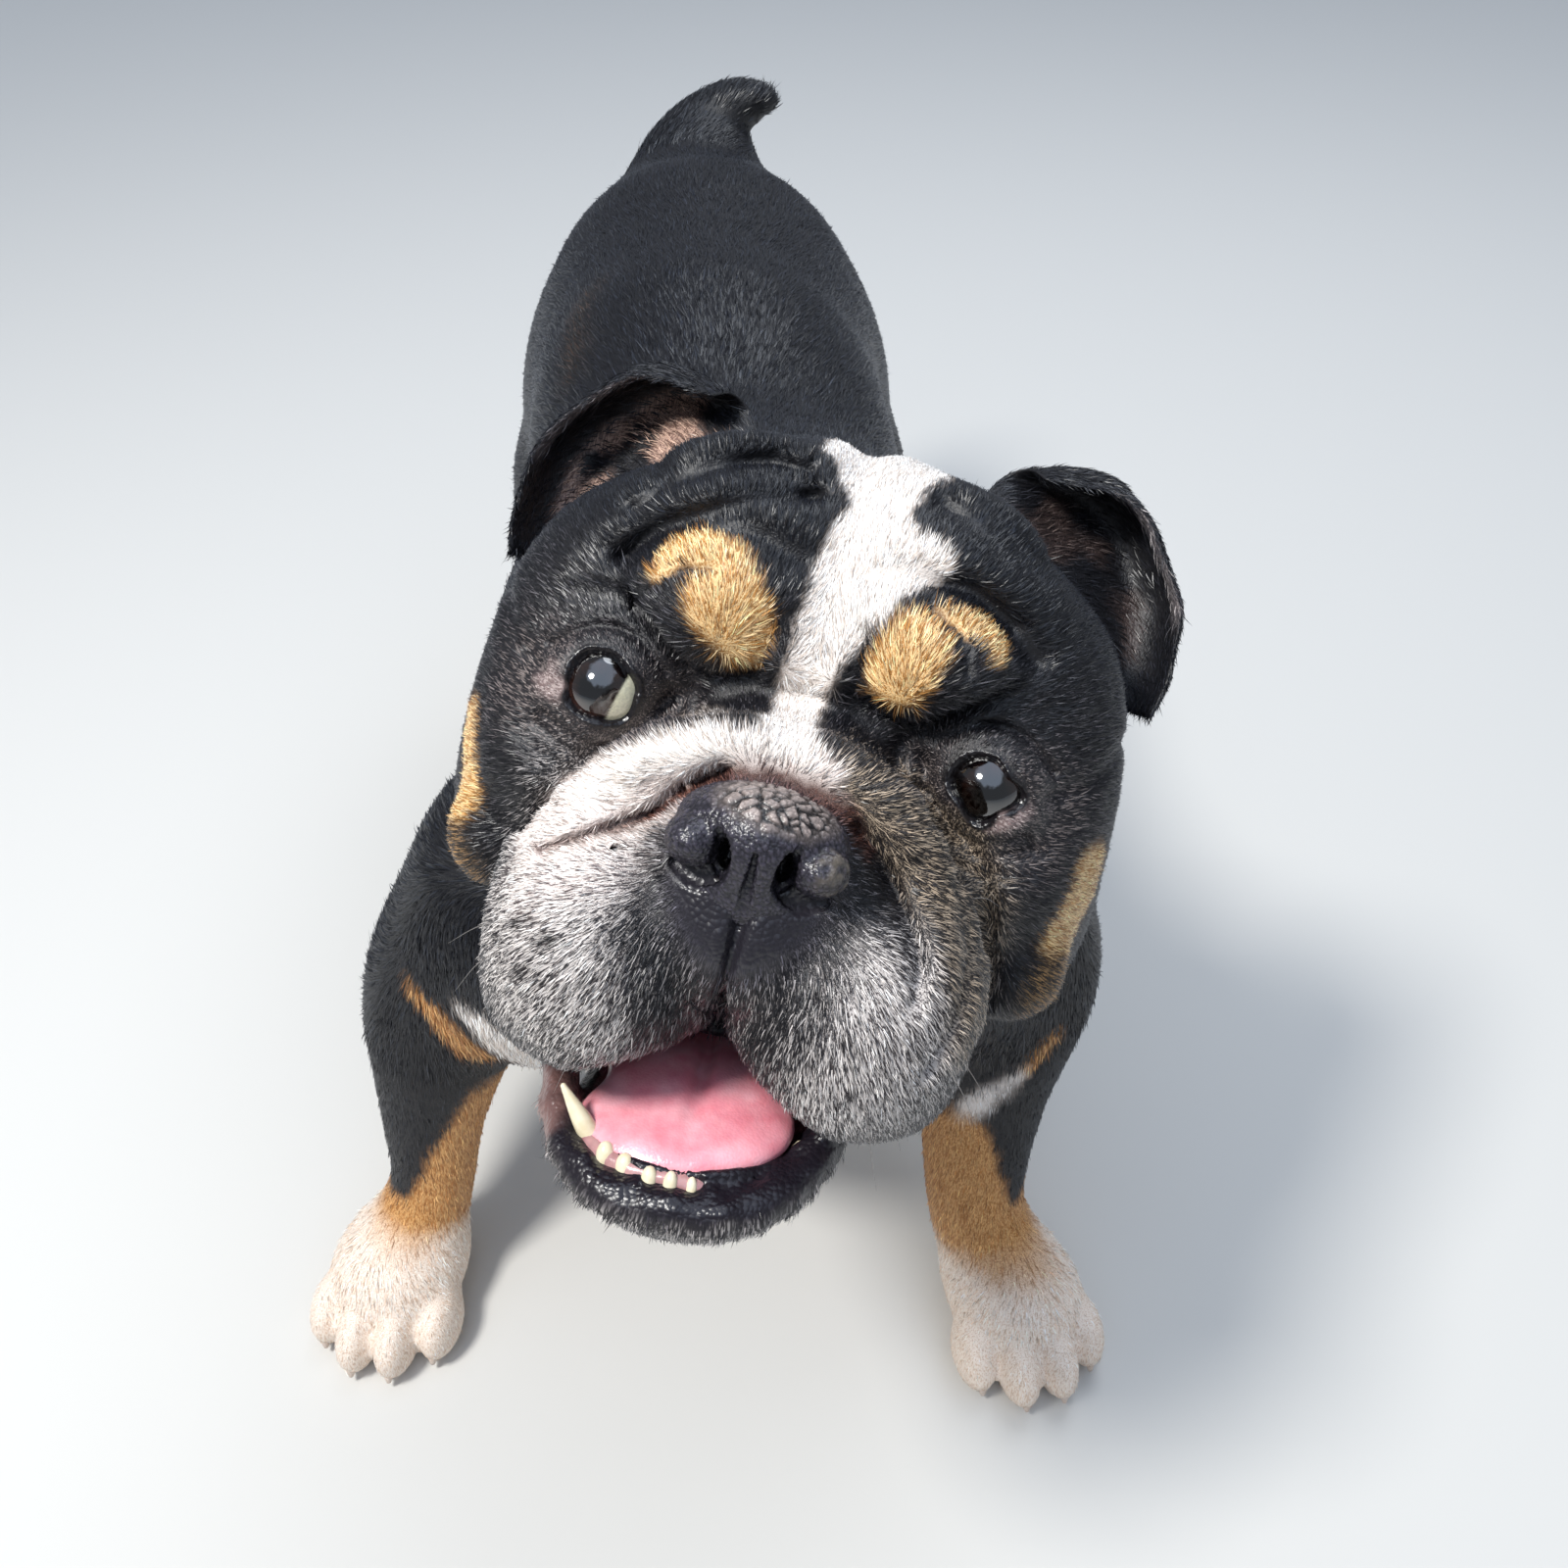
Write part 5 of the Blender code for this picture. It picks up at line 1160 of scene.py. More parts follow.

# Ears: small rose ears, thin leaves of gristle and skin that stand up, fold over and hang by the cheeks. Black
# hair covers the back, the rim is nearly bare and pale with a highlight painted along the fold's top, and pinkish
# tan hair grows in the cup.
EAR_NET = (
    ((34, 63, 76), (54, 66, 67), (70, 68, 52), (79, 66, 36), (82, 64, 26)),
    ((40, 72, 87), (65, 84, 86), (86, 84, 66), (92, 76, 42), (90, 66, 28)),
    ((47, 68, 91), (75, 78, 93), (97, 77, 69), (101, 70, 44), (96, 60, 28)),
    ((52, 56, 88), (78, 60, 88), (98, 58, 65), (102, 54, 43), (100, 51, 28)),
)
EAR_NET_UNIT = 0.001
EAR_THICK = 0.0042
RIGHT_EAR_NEARER = 0.972
# The ears' blue-grey light hairs stand partly for their sheen: painted sheen in the hair colour.
EAR_BLACK = ("#0f0f13", "#2c2d34", 0.25, "#121116")
# Pale bare rim with a painted highlight along the fold's top.
EAR_RIM_PALE_AND_HIGHLIGHT = ("#4a464a", "#b3acac", 0.45, "#8d8587")
EAR_CUP = ("#6b5248", "#cfae9a", 0.55, "#8f7168")
# The dog's left ear keeps its cup almost all black: painted shade in that cup.
EAR_CUP_SHARE = {1: 0.15, -1: 1.0}


def net_surface(net, across, along):
    """Points and normals on a smooth sheet: a Catmull-Rom curve along each row, then one across them."""
    rows = np.array([smooth_path(row, np.zeros(len(row)), along)[0] for row in net])
    columns = [smooth_path(rows[:, i], np.zeros(len(net)), across)[0] for i in range(rows.shape[1])]
    sheet = np.array(columns).transpose(1, 0, 2)
    normals = np.cross(np.gradient(sheet, axis=1), np.gradient(sheet, axis=0))
    return sheet, normals / np.linalg.norm(normals, axis=2)[:, :, None]


def leaf(sheet, normals, half):
    """A closed leaf: the sheet moved out by half its thickness on each face, and a rim of quads round it."""
    rows, columns = sheet.shape[:2]
    points = np.vstack([(sheet + normals * half).reshape(-1, 3), (sheet - normals * half).reshape(-1, 3)])
    number = np.arange(rows * columns).reshape(rows, columns)
    a, b, c, d = number[:-1, :-1], number[:-1, 1:], number[1:, 1:], number[1:, :-1]
    front = np.stack([a, b, c, d], -1).reshape(-1, 4)
    loop = np.concatenate([number[0], number[1:, -1], number[-1, -2::-1], number[-2:0:-1, 0]])
    after = np.roll(loop, -1)
    total = rows * columns
    rim = np.stack([after, loop, loop + total, after + total], 1)
    return points, np.vstack([front, front[:, ::-1] + total, rim])


def ear_paint(along, out, inside, local, cup):
    """Black behind, a pale rim along the fold's top that is partly bare skin and partly a painted highlight, and tan
    hair in patches in the cup.
    """
    paint = Paint(len(along), EAR_BLACK)
    patch = eased(0.55 + 2.2 * rumple(local, 0.012, 41)) * eased((0.40 - np.abs(along - 0.42)) / 0.12)
    paint.lay(cup * inside * patch * eased((0.52 - out) / 0.15), EAR_CUP)
    paint.lay(inside * eased((out - 0.80) / 0.08) * spot(along[:, None], (0.38,), (0.20,), 0.5), EAR_RIM_PALE_AND_HIGHLIGHT)
    return paint


for side, name in ((1, "ear_left"), (-1, "ear_right")):
    sheet, normals = net_surface(np.array(EAR_NET) * EAR_NET_UNIT, 16, 12)
    out = np.linspace(0, 1, sheet.shape[0])[:, None] + 0 * sheet[:, :, 0]
    along = np.linspace(0, 1, sheet.shape[1])[None, :] + 0 * sheet[:, :, 0]
    flat = sheet.reshape(-1, 3)
    ripple = (0.0009 * rumple(flat, 0.012, 42 + side)).reshape(out.shape)
    sheet = sheet + normals * (ripple * eased(out * 3))[:, :, None]
    edge = np.minimum(1 - out, 0.5 - np.abs(along - 0.5)) * 2
    half = (EAR_THICK / 2 * (1 - 0.45 * out) * np.sqrt(np.clip(edge * 6, 0.04, 1)))[:, :, None]
    points, faces = leaf(sheet, normals, half)
    points = points * (side if side > 0 else side * RIGHT_EAR_NEARER, 1, 1)
    if side < 0:
        faces = faces[:, ::-1]
    total = sheet.shape[0] * sheet.shape[1]
    outer_normal = np.tile(normals.reshape(-1, 3) * (side, 1, 1), (2, 1))
    outer_normal[total:] *= -1
    facing = outer_normal @ np.array((0, -1, 0))
    inside = (np.arange(2 * total) >= total).astype(float)
    if facing[:total].mean() > facing[total:].mean():
        inside = 1 - inside
    ear_along, ear_out = np.tile(along.ravel(), 2), np.tile(out.ravel(), 2)
    world = out_of_head(points)
    ear = mesh_object(name + "_skin", world, faces)
    cup = EAR_CUP_SHARE[side]
    paint = ear_paint(ear_along, ear_out, inside, points, cup)
    give(ear, "dark_hair", paint.skin + (paint.dark - paint.skin) * 0.6)
    give(ear, "light_hair", paint.skin + (paint.light - paint.skin) * 0.6)
    give(ear, "share", paint.share)
    give(ear, "wet", np.zeros(len(points)))
    give(ear, "flow", points * (1, 1, 0.2))
    ear.data.materials.append(skin.data.materials[0])
    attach(ear, "root")
    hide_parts(name)
    triangles = np.vstack([faces[:, [0, 1, 2]], faces[:, [0, 2, 3]]])
    weights = 1 - 0.75 * inside[triangles].mean(1)
    roots, picks, share = scattered(world, triangles, weights, 15000)
    smooth_normals = vertex_normals(world, triangles)
    at_root = lambda values: (values[triangles[picks]] * (share if values.ndim == 1 else share[:, :, None])).sum(1)
    root_normals = at_root(smooth_normals)
    root_normals /= np.linalg.norm(root_normals, axis=1)[:, None]
    grid_lie = np.gradient(sheet, axis=0).reshape(-1, 3) + 0.6 * np.gradient(sheet, axis=1).reshape(-1, 3)
    lie = np.tile(grid_lie * (side, 1, 1), (2, 1)) @ HEAD_AXES.T
    lie = at_root(lie / np.linalg.norm(lie, axis=1)[:, None]) + 0.18 * rng.normal(0, 1, (len(roots), 3))
    lie -= root_normals * (lie * root_normals).sum(1)[:, None]
    lie /= np.linalg.norm(lie, axis=1)[:, None]
    root_inside = at_root(inside)
    own = into_head(roots) * (side, 1, 1)
    root_paint = ear_paint(at_root(ear_along), at_root(ear_out), root_inside, own, cup)
    lengths = (0.0036 + 0.0016 * root_inside) * np.exp(rng.normal(0, 0.2, len(roots)))
    widths = np.full(len(roots), 0.00034)
    lifts = 0.05 + 0.10 * root_inside * rng.random(len(roots))
    tufts("coat_" + name, roots, root_normals, lie, lengths, widths, lifts, hair_colours(root_paint), hair)

# Eyes: wet globes of deep brown, nearly black, with a cornea that bulges, and a pale haw in the inner corner.
EYE_RADIUS = 0.0115
CORNEA_RISE = 0.0007
CORNEA_REACH = 1.0
PUPIL, IRIS = 0.32, 0.74
EYE_COLOURS = ("#020203", "#150b08", "#22120d", "#070405", "#0c0808")
RIGHT_HAW = ((0.965, 0.0, -0.260), 1.08, "#fbf8d8")
LEFT_HAW = ((0.45, -0.50, -0.75), 0.26, "#54403d")
# Painted light and shade in the lower half of each iris: brighter in the right eye, darker in the left.
IRIS_PAINTED_LIGHT = {1: -0.7, -1: 1.4}


def ball(radius, rows, columns):
    """A sphere of triangles with single poles, its axis along -Y."""
    angle = np.linspace(0, pi, rows + 1)[1:-1]
    round_ = np.linspace(0, 2 * pi, columns, endpoint=False)
    a, r = np.meshgrid(angle, round_, indexing="ij")
    body = np.stack([np.sin(a) * np.cos(r), -np.cos(a), np.sin(a) * np.sin(r)], -1).reshape(-1, 3)
    points = np.vstack([body, [(0, -1, 0)], [(0, 1, 0)]])
    number = np.arange(len(body)).reshape(rows - 1, columns)
    after = np.roll(number, -1, axis=1)
    quads = np.stack([number[:-1], after[:-1], after[1:], number[1:]], -1).reshape(-1, 4)
    first = np.stack([np.full(columns, len(body)), after[0], number[0]], 1)
    last = np.stack([np.full(columns, len(body) + 1), number[-1], after[-1]], 1)
    faces = np.vstack([quads[:, [0, 1, 2]], quads[:, [0, 2, 3]], first, last])
    return points * radius, faces


def dog_eye():
    """A dog's eye: coloured iris under a clear wet cornea, so a dark base under a sharp clear coat."""
    material, shader = new_material("dog_eye")
    colour = add(material, "ShaderNodeAttribute", [("attribute_name", "iris")])
    place = add(material, "ShaderNodeTexCoord")
    fibres = add(material, "ShaderNodeTexNoise", links=[("Vector", place, "Object")],
                 sockets=[("Scale", 1500.0), ("Detail", 2.0)])
    mixed = add(material, "ShaderNodeMixRGB", [("blend_type", "MULTIPLY")],
                [("Color1", colour, "Color"), ("Color2", fibres, "Fac")], [("Fac", 0.5)])
    wire(material, mixed, "Color", shader, "Base Color")
    shader.inputs["Roughness"].default_value = 0.12
    shader.inputs["Coat Weight"].default_value = 1.0
    shader.inputs["Coat Roughness"].default_value = 0.02
    shader.inputs["Coat IOR"].default_value = 2.0
    shader.inputs["Specular IOR Level"].default_value = 0.2
    return material


eye_material = dog_eye()
for side, name in ((1, "eye_left"), (-1, "eye_right")):
    points, faces = ball(1.0, 64, 72)
    off_axis = np.arccos(np.clip(-points[:, 1], -1, 1))
    bulge = CORNEA_RISE / EYE_RADIUS * np.cos(np.minimum(off_axis / CORNEA_REACH, 1) * pi / 2) ** 2
    stops = np.array((0, PUPIL, PUPIL + 0.10, IRIS - 0.12, IRIS, IRIS + 0.35, pi))
    shades = np.array([linear(EYE_COLOURS[i]) for i in (0, 0, 1, 2, 3, 4, 4)])
    iris = np.stack([np.interp(off_axis, stops, shades[:, k]) for k in range(3)], 1)
    round_ = np.arctan2(points[:, 2], points[:, 0])
    streaks = rumple(np.stack([np.cos(round_), np.sin(round_), 0 * round_], 1), 0.10, 71)
    # Painted light and shade: the lower half of the right iris is brightened and that of the left darkened.
    iris_painted_light = IRIS_PAINTED_LIGHT[side] * eased(0.4 - points[:, 2] * 2.0)
    iris *= ((1 + 0.5 * streaks) * (1 + iris_painted_light))[:, None]
    haw, reach, haw_colour = RIGHT_HAW if side < 0 else LEFT_HAW
    corner = np.arccos(np.clip(points @ (np.array(haw) / np.linalg.norm(haw)), -1, 1))
    iris += (linear(haw_colour) - iris) * eased((reach - corner) / 0.06)[:, None]
    gaze = turned((4, 0, 3 * side))
    points = (points * (1 + bulge)[:, None]) @ gaze.T * EYE_RADIUS
    eye = mesh_object(name + "_globe", out_of_head(points + EYE_PLACE * (side, 1, 1)), faces)
    give(eye, "iris", iris)
    eye.data.materials.append(eye_material)
    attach(eye, "root")
    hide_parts(name)

# Nose: black pebbled leather with two comma-shaped nostrils, a groove down the middle, and a dry, cracked crown.
NOSE_MASSES = (
    ("pad", (0.0000, -0.0560, -0.0162), (0.0205, 0.0150, 0.0115), (0, 0, 0), 0.003),
    ("tip", (0.0000, -0.0640, -0.0175), (0.0100, 0.0072, 0.0100), (0, 0, 0), 0.006),
    ("wing", (0.0147, -0.0622, -0.0200), (0.0068, 0.0088, 0.0063), (0, 0, 0), 0.0010),
    ("base", (0.0000, -0.0535, -0.0290), (0.0165, 0.0128, 0.0110), (0, 0, 0), 0.006),
)
NOSTRIL_DEPTH = 0.0028
NOSE_GROOVE = ((0, -0.0704, -0.0190), (0, -0.0672, -0.0290), (0, -0.0645, -0.0400))
NOSE_GROOVE_RADII = (0.0005, 0.0011, 0.0013)
PEBBLE = 0.0013
CRACK_CELL = 0.0035
CRACKED = ((0.0025, -0.0620, -0.0082), (0.0140, 0.0120, 0.0070))
CRUSTED = ((0.0180, -0.0680, -0.0190), (0.0052, 0.0060, 0.0050))


def nearest_two(points, size, seed):
    """Distances to the nearest and second nearest of points scattered one to a cell, as shares of the cell."""
    scaled = points / size
    low = np.floor(scaled).astype(np.int64)
    first, second = np.full(len(points), 9.0), np.full(len(points), 9.0)
    steps = np.array([(i, j, k) for i in (-1, 0, 1) for j in (-1, 0, 1) for k in (-1, 0, 1)])
    for step in steps:
        cell = low + step
        mixed = cell @ HASH + seed * 7919
        jitter = []
        for k in range(3):
            mixed = (mixed ^ (mixed >> 13)) * 1274126177 + k
            jitter.append(((mixed ^ (mixed >> 16)) & 0xFFFF) / 65535)
        away = np.linalg.norm(cell + np.stack(jitter, 1) - scaled, axis=1)
        second = np.minimum(second, np.maximum(first, away))
        first = np.minimum(first, away)
    return first, second


def nose_clay(local):
    """Distances to the nose, in the head's frame."""
    clay = Clay(mirrored(local))
    for _, centre, radii, turn, blend in NOSE_MASSES:
        clay.mass(centre, radii, turn, blend)
    clay.hollow(*NOSTRIL, 0.0012)
    clay.channel(NOSTRIL_CURL, NOSTRIL_CURL_RADII, 0.0010)
    clay.channel(np.array(NOSTRIL_CURL) + (0, NOSTRIL_DEPTH, 0), np.array(NOSTRIL_CURL_RADII) * 0.8, 0.0010)
    clay.channel(NOSE_GROOVE, NOSE_GROOVE_RADII, 0.0012)
    clay.channel(np.array(NOSE_GROOVE) - (0, 0.0016, 0), NOSE_GROOVE_RADII, 0.0012)
    return clay.depth


def nose_leather():
    """Nose leather: pebbled, dry but with a dull shine on each pebble."""
    material, shader = new_material("nose_leather")
    colour = add(material, "ShaderNodeAttribute", [("attribute_name", "coat")])
    place = add(material, "ShaderNodeTexCoord")
    grain = add(material, "ShaderNodeTexVoronoi", links=[("Vector", place, "Object")], sockets=[("Scale", 1400.0)])
    bump = add(material, "ShaderNodeBump", [("invert", True)], [("Height", grain, "Distance")],
               [("Strength", 0.4), ("Distance", 0.0003)])
    wire(material, colour, "Color", shader, "Base Color")
    wire(material, bump, "Normal", shader, "Normal")
    shader.inputs["Roughness"].default_value = 0.32
    return material


nose_low, nose_high = np.array((-0.030, -0.085, -0.058)), np.array((0.030, -0.030, 0.002))
points, faces = surface_of(nose_clay, nose_low, nose_high, 0.00045)
points = settled(nose_clay, points)
normals = vertex_normals(points, faces)
first, second = nearest_two(points, PEBBLE, 1)
pebbled = np.clip((second - first) * 2.4, 0, 1)
warped = points + 0.0009 * np.stack([rumple(points, 0.003, k) for k in (61, 62, 63)], 1)
first, second = nearest_two(warped, CRACK_CELL, 2)
crown = spot(warped, *CRACKED, 0.5)
crack = crown * eased(1.15 - (second - first) / 0.26)
crust = spot(warped, *CRUSTED, 0.6) * eased(0.6 + 0.9 * rumple(points, 0.0016, 64))
points = points + normals * (0.00030 * (pebbled - 1) - 0.0006 * crack + 0.0005 * crust)[:, None]
# The leather is paler on each pebble's top and near black in the gaps: partly its own grain, partly painted light on
# the tops and painted shade in the gaps.
nose_colour = np.tile(linear("#17161b"), (len(points), 1))
nose_colour += (linear("#47434f") - nose_colour) * (pebbled * 0.7)[:, None]
nose_colour += (linear("#a99a93") - nose_colour) * (crown * 0.85 * (0.50 + 0.50 * pebbled))[:, None]
nose_colour += (linear("#746b5f") - nose_colour) * (crust * 0.6)[:, None]
nose_colour += (linear("#0d0b0c") - nose_colour) * crack[:, None]
# Painted shade: the nostrils and the groove down the middle are laid near black.
hole = mirrored(points)
nostril = np.maximum(eased(0.5 - ellipsoid(hole, NOSTRIL[0], np.array(NOSTRIL[1]) * 1.12, NOSTRIL[2]) / 0.0012),
                     stroke(hole, np.array(NOSTRIL_CURL) + (0, 0.0020, 0), NOSTRIL_CURL_RADII, 0.0012))
groove = stroke(hole, NOSE_GROOVE, NOSE_GROOVE_RADII, 0.0012)
nose_colour += (linear("#070607") - nose_colour) * np.maximum(nostril, groove)[:, None]
nose = mesh_object("nose_leather", out_of_head(points), faces)
give(nose, "coat", nose_colour)
nose.data.materials.append(nose_leather())
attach(nose, "root")
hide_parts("nose")

# Mouth: a broad wet tongue with a shallow groove, the pink lower gum behind the black lip, five worn incisors and
# two canines.
TONGUE_MASSES = (
    ("blade", (-0.0013, -0.0308, -0.0966), (0.0276, 0.0218, 0.0072), (16, -3, 0), 0.006),
    ("root", (0.0000, -0.0050, -0.0900), (0.0260, 0.0280, 0.0085), (6, 0, 0), 0.006),
)
TONGUE_GROOVE = ((0.001, -0.0560, -0.0970), (0.001, -0.0300, -0.0870), (0, 0.0100, -0.0795))
GUM_PATH = (
    (-0.0280, -0.0270, -0.0985),
    (-0.0245, -0.0405, -0.1012),
    (-0.0130, -0.0488, -0.1037),
    (0.0000, -0.0512, -0.1046),
    (0.0080, -0.0505, -0.1054),
    (0.0160, -0.0470, -0.1068),
)
GUM_RADII = (0.0022, 0.0026, 0.0029, 0.0029, 0.0025, 0.0018)
# Worn incisors from the dog's right to its left, place, height of the crown, and radius.
INCISORS = (
    (-0.0186, -0.0474, -0.0988, 0.0023),
    (-0.0133, -0.0500, -0.1000, 0.0023),
    (-0.0068, -0.0528, -0.1012, 0.0020),
    (-0.0015, -0.0536, -0.1014, 0.0018),
    (0.0036, -0.0534, -0.1022, 0.0015),
)
CANINES = (
    (((-0.0225, -0.0405, -0.1020), (-0.0262, -0.0408, -0.0965), (-0.0318, -0.0400, -0.0888)), (0.0027, 0.0025, 0.0008)),
    (((0.0262, -0.0350, -0.1030), (0.0272, -0.0350, -0.1000), (0.0280, -0.0345, -0.0972)), (0.0028, 0.0022, 0.0010)),
)


def tongue_clay(points):
    """Distances to the tongue, in the jaw's frame."""
    clay = Clay(points)
    for _, centre, radii, turn, blend in TONGUE_MASSES:
        clay.mass(centre, radii, turn, blend)
    clay.channel(TONGUE_GROOVE, (0.0014,) * 3, 0.004)
    return clay.depth + 0.0003 * rumple(points, 0.006, 51)


def gum_clay(points):
    """Distances to the lower gum."""
    clay = Clay(points)
    clay.limb(GUM_PATH, GUM_RADII, 0.002)
    return clay.depth + 0.0002 * rumple(points, 0.003, 52)


def tooth_clay(points):
    """Distances to the incisors and canines."""
    clay = Clay(points)
    for x, y, top, radius in INCISORS:
        clay.mass((x, y, top - 0.0030), (radius, radius * 0.9, 0.0034), (-8, 0, 0), 0.0006)
    for path, radii in CANINES:
        clay.limb(path, radii, 0.001)
    return clay.depth


def mouth_piece(name, field, low, high, cell, material):
    """A piece of the mouth, drawn round its clay in the jaw's frame."""
    points, faces = surface_of(field, np.array(low), np.array(high), cell)
    points = settled(field, points)
    made = mesh_object(name, out_of_head(out_of_jaw(points)), faces)
    made.data.materials.append(material)
    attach(made, "root")
    return made


def wet_flesh(name, deep, pale, scale):
    """Wet mucous membrane: pink in two depths, its papillae or veins at the given scale, under a film of spit."""
    material, shader = new_material(name)
    place = add(material, "ShaderNodeTexCoord")
    blotch = add(material, "ShaderNodeTexNoise", links=[("Vector", place, "Object")],
                 sockets=[("Scale", 120.0), ("Detail", 4.0)])
    ramp = add(material, "ShaderNodeValToRGB", links=[("Fac", blotch, "Fac")])
    ramp.color_ramp.elements[0].position, ramp.color_ramp.elements[1].position = 0.35, 0.68
    ramp.color_ramp.elements[0].color = (*linear(deep), 1)
    ramp.color_ramp.elements[1].color = (*linear(pale), 1)
    papillae = add(material, "ShaderNodeTexVoronoi", links=[("Vector", place, "Object")], sockets=[("Scale", scale)])
    bump = add(material, "ShaderNodeBump", [("invert", True)], [("Height", papillae, "Distance")],
               [("Strength", 0.25), ("Distance", 0.0003)])
    wire(material, ramp, "Color", shader, "Base Color")
    wire(material, bump, "Normal", shader, "Normal")
    shader.inputs["Roughness"].default_value = 0.30
    shader.inputs["Coat Weight"].default_value = 0.5
    shader.inputs["Coat Roughness"].default_value = 0.12
    shader.inputs["Subsurface Weight"].default_value = 0.15
    shader.inputs["Subsurface Radius"].default_value = (0.004, 0.0015, 0.001)
    return material


def ivory_enamel():
    """Tooth enamel, worn, in patches from ivory to a little yellow."""
    material, shader = new_material("ivory_enamel")
    place = add(material, "ShaderNodeTexCoord")
    stain = add(material, "ShaderNodeTexNoise", links=[("Vector", place, "Object")],
                sockets=[("Scale", 400.0), ("Detail", 3.0)])
    ramp = add(material, "ShaderNodeValToRGB", links=[("Fac", stain, "Fac")])
    ramp.color_ramp.elements[0].color = (*linear("#d8c596"), 1)
    ramp.color_ramp.elements[1].color = (*linear("#f6efd9"), 1)
    wire(material, ramp, "Color", shader, "Base Color")
    shader.inputs["Roughness"].default_value = 0.22
    shader.inputs["Coat Weight"].default_value = 0.4
    return material


mouth_low, mouth_high = (-0.045, -0.075, -0.125), (0.045, 0.040, -0.070)
tongue = mouth_piece("tongue_flesh", tongue_clay, mouth_low, mouth_high, 0.0011,
                     wet_flesh("tongue_flesh", "#e98a97", "#f9b0ba", 1300.0))
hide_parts("tongue")
gum = mouth_piece("gum", gum_clay, mouth_low, mouth_high, 0.0009,
                   wet_flesh("gum_flesh", "#96696b", "#c79b98", 600.0))
teeth = mouth_piece("teeth_enamel", tooth_clay, mouth_low, mouth_high, 0.0006, ivory_enamel())
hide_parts("teeth_lower")

# Claws: short blunt horn, four to a paw, growing from the toes' ends.
CLAW_LINE = ((0.0080, 0.0120), (0.0130, 0.0105), (0.0152, 0.0062))
CLAW_RADII = (0.0030, 0.0025, 0.0010)


def tube(path, radii, sides):
    """A closed tube: rings round a smooth path, each square to it, with its ends drawn to points."""
    line, thick = smooth_path(path, radii, 6)
    line = np.vstack([line[0], line, line[-1]])
    thick = np.concatenate([[0.0], thick, [0.0]])
    run = np.gradient(smooth_path(path, radii, 6)[0], axis=0)
    run = np.vstack([run[0], run, run[-1]])
    run /= np.linalg.norm(run, axis=1)[:, None]
    across = np.cross(run, (0.31, 0.11, 0.94))
    across /= np.linalg.norm(across, axis=1)[:, None]
    up = np.cross(run, across)
    angle = np.linspace(0, 2 * pi, sides, endpoint=False)
    ring = across[:, None] * np.cos(angle)[None, :, None] + up[:, None] * np.sin(angle)[None, :, None]
    points = (line[:, None] + ring * thick[:, None, None]).reshape(-1, 3)
    number = np.arange(len(points)).reshape(len(line), sides)
    after = np.roll(number, -1, axis=1)
    quads = np.stack([number[:-1], after[:-1], after[1:], number[1:]], -1).reshape(-1, 4)
    return points, quads


def joined(parts):
    """Several meshes as one."""
    points, faces, start = [], [], 0
    for some_points, some_faces in parts:
        points.append(some_points)
        faces.append(some_faces + start)
        start += len(some_points)
    return np.vstack(points), np.vstack(faces)


def claw_horn():
    """Claw horn: grey-brown keratin, worn smooth."""
    material, shader = new_material("claw_horn")
    place = add(material, "ShaderNodeTexCoord")
    streaks = add(material, "ShaderNodeTexNoise", links=[("Vector", place, "Object")],
                  sockets=[("Scale", 500.0), ("Detail", 2.0)])
    ramp = add(material, "ShaderNodeValToRGB", links=[("Fac", streaks, "Fac")])
    ramp.color_ramp.elements[0].color = (*linear("#bfa796"), 1)
    ramp.color_ramp.elements[1].color = (*linear("#e2d3c6"), 1)
    wire(material, ramp, "Color", shader, "Base Color")
    shader.inputs["Roughness"].default_value = 0.35
    return material


horn = claw_horn()
for leg, (_, _, place, heading, size) in LEGS.items():
    claws = []
    for across, ahead in TOES:
        line = [on_paw(place, heading, size, across, ahead + on, up) + BODY_SHIFT for on, up in CLAW_LINE]
        claws.append(tube(line, np.array(CLAW_RADII) * size, 10))
    made = mesh_object("claws_" + leg[4:], *joined(claws))
    made.data.materials.append(horn)
    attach(made, "root")

# Whiskers: stiff tapered hairs on the muzzle and flews.
WHISKER_LENGTH = 0.015
WHISKER_RADIUS = 0.00014
WHISKER_ROOTS = (
    (0.050, -0.050), (0.047, -0.060), (0.041, -0.051), (0.031, -0.057), (0.037, -0.069), (0.026, -0.066),
    (0.040, -0.060), (0.053, -0.058), (0.030, -0.048), (0.044, -0.070), (0.056, -0.020),
)


def whisker_horn():
    """Whiskers: glossy grey keratin."""
    material, shader = new_material("whisker_keratin")
    shader.inputs["Base Color"].default_value = (*linear("#7d7874"), 1)
    shader.inputs["Roughness"].default_value = 0.3
    return material


front_faces = into_head(skin_points[skin_faces].mean(1))
whiskers = []
for side in (-1, 1):
    for across, up in WHISKER_ROOTS:
        away = np.hypot(front_faces[:, 0] - side * across, front_faces[:, 2] - up) + 0.2 * (front_faces[:, 1] + 0.05)
        pick = skin_faces[np.argmin(away)]
        root = skin_points[pick].mean(0)
        normal = skin_normals[pick].mean(0)
        out = lie_of_coat(root[None], normal[None])[0] * 0.9 + normal * 0.5 + 0.12 * rng.normal(0, 1, 3)
        out *= WHISKER_LENGTH * (0.6 + 0.7 * rng.random()) / np.linalg.norm(out)
        droop = np.array((0, 0, -0.25)) * np.linalg.norm(out)
        line = (root - normal * 0.001, root + out * 0.5, root + out + droop)
        whiskers.append(tube(line, np.array((1.0, 0.7, 0.25)) * WHISKER_RADIUS, 5))
made = mesh_object("whiskers", *joined(whiskers))
made.data.materials.append(whisker_horn())
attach(made, "root")

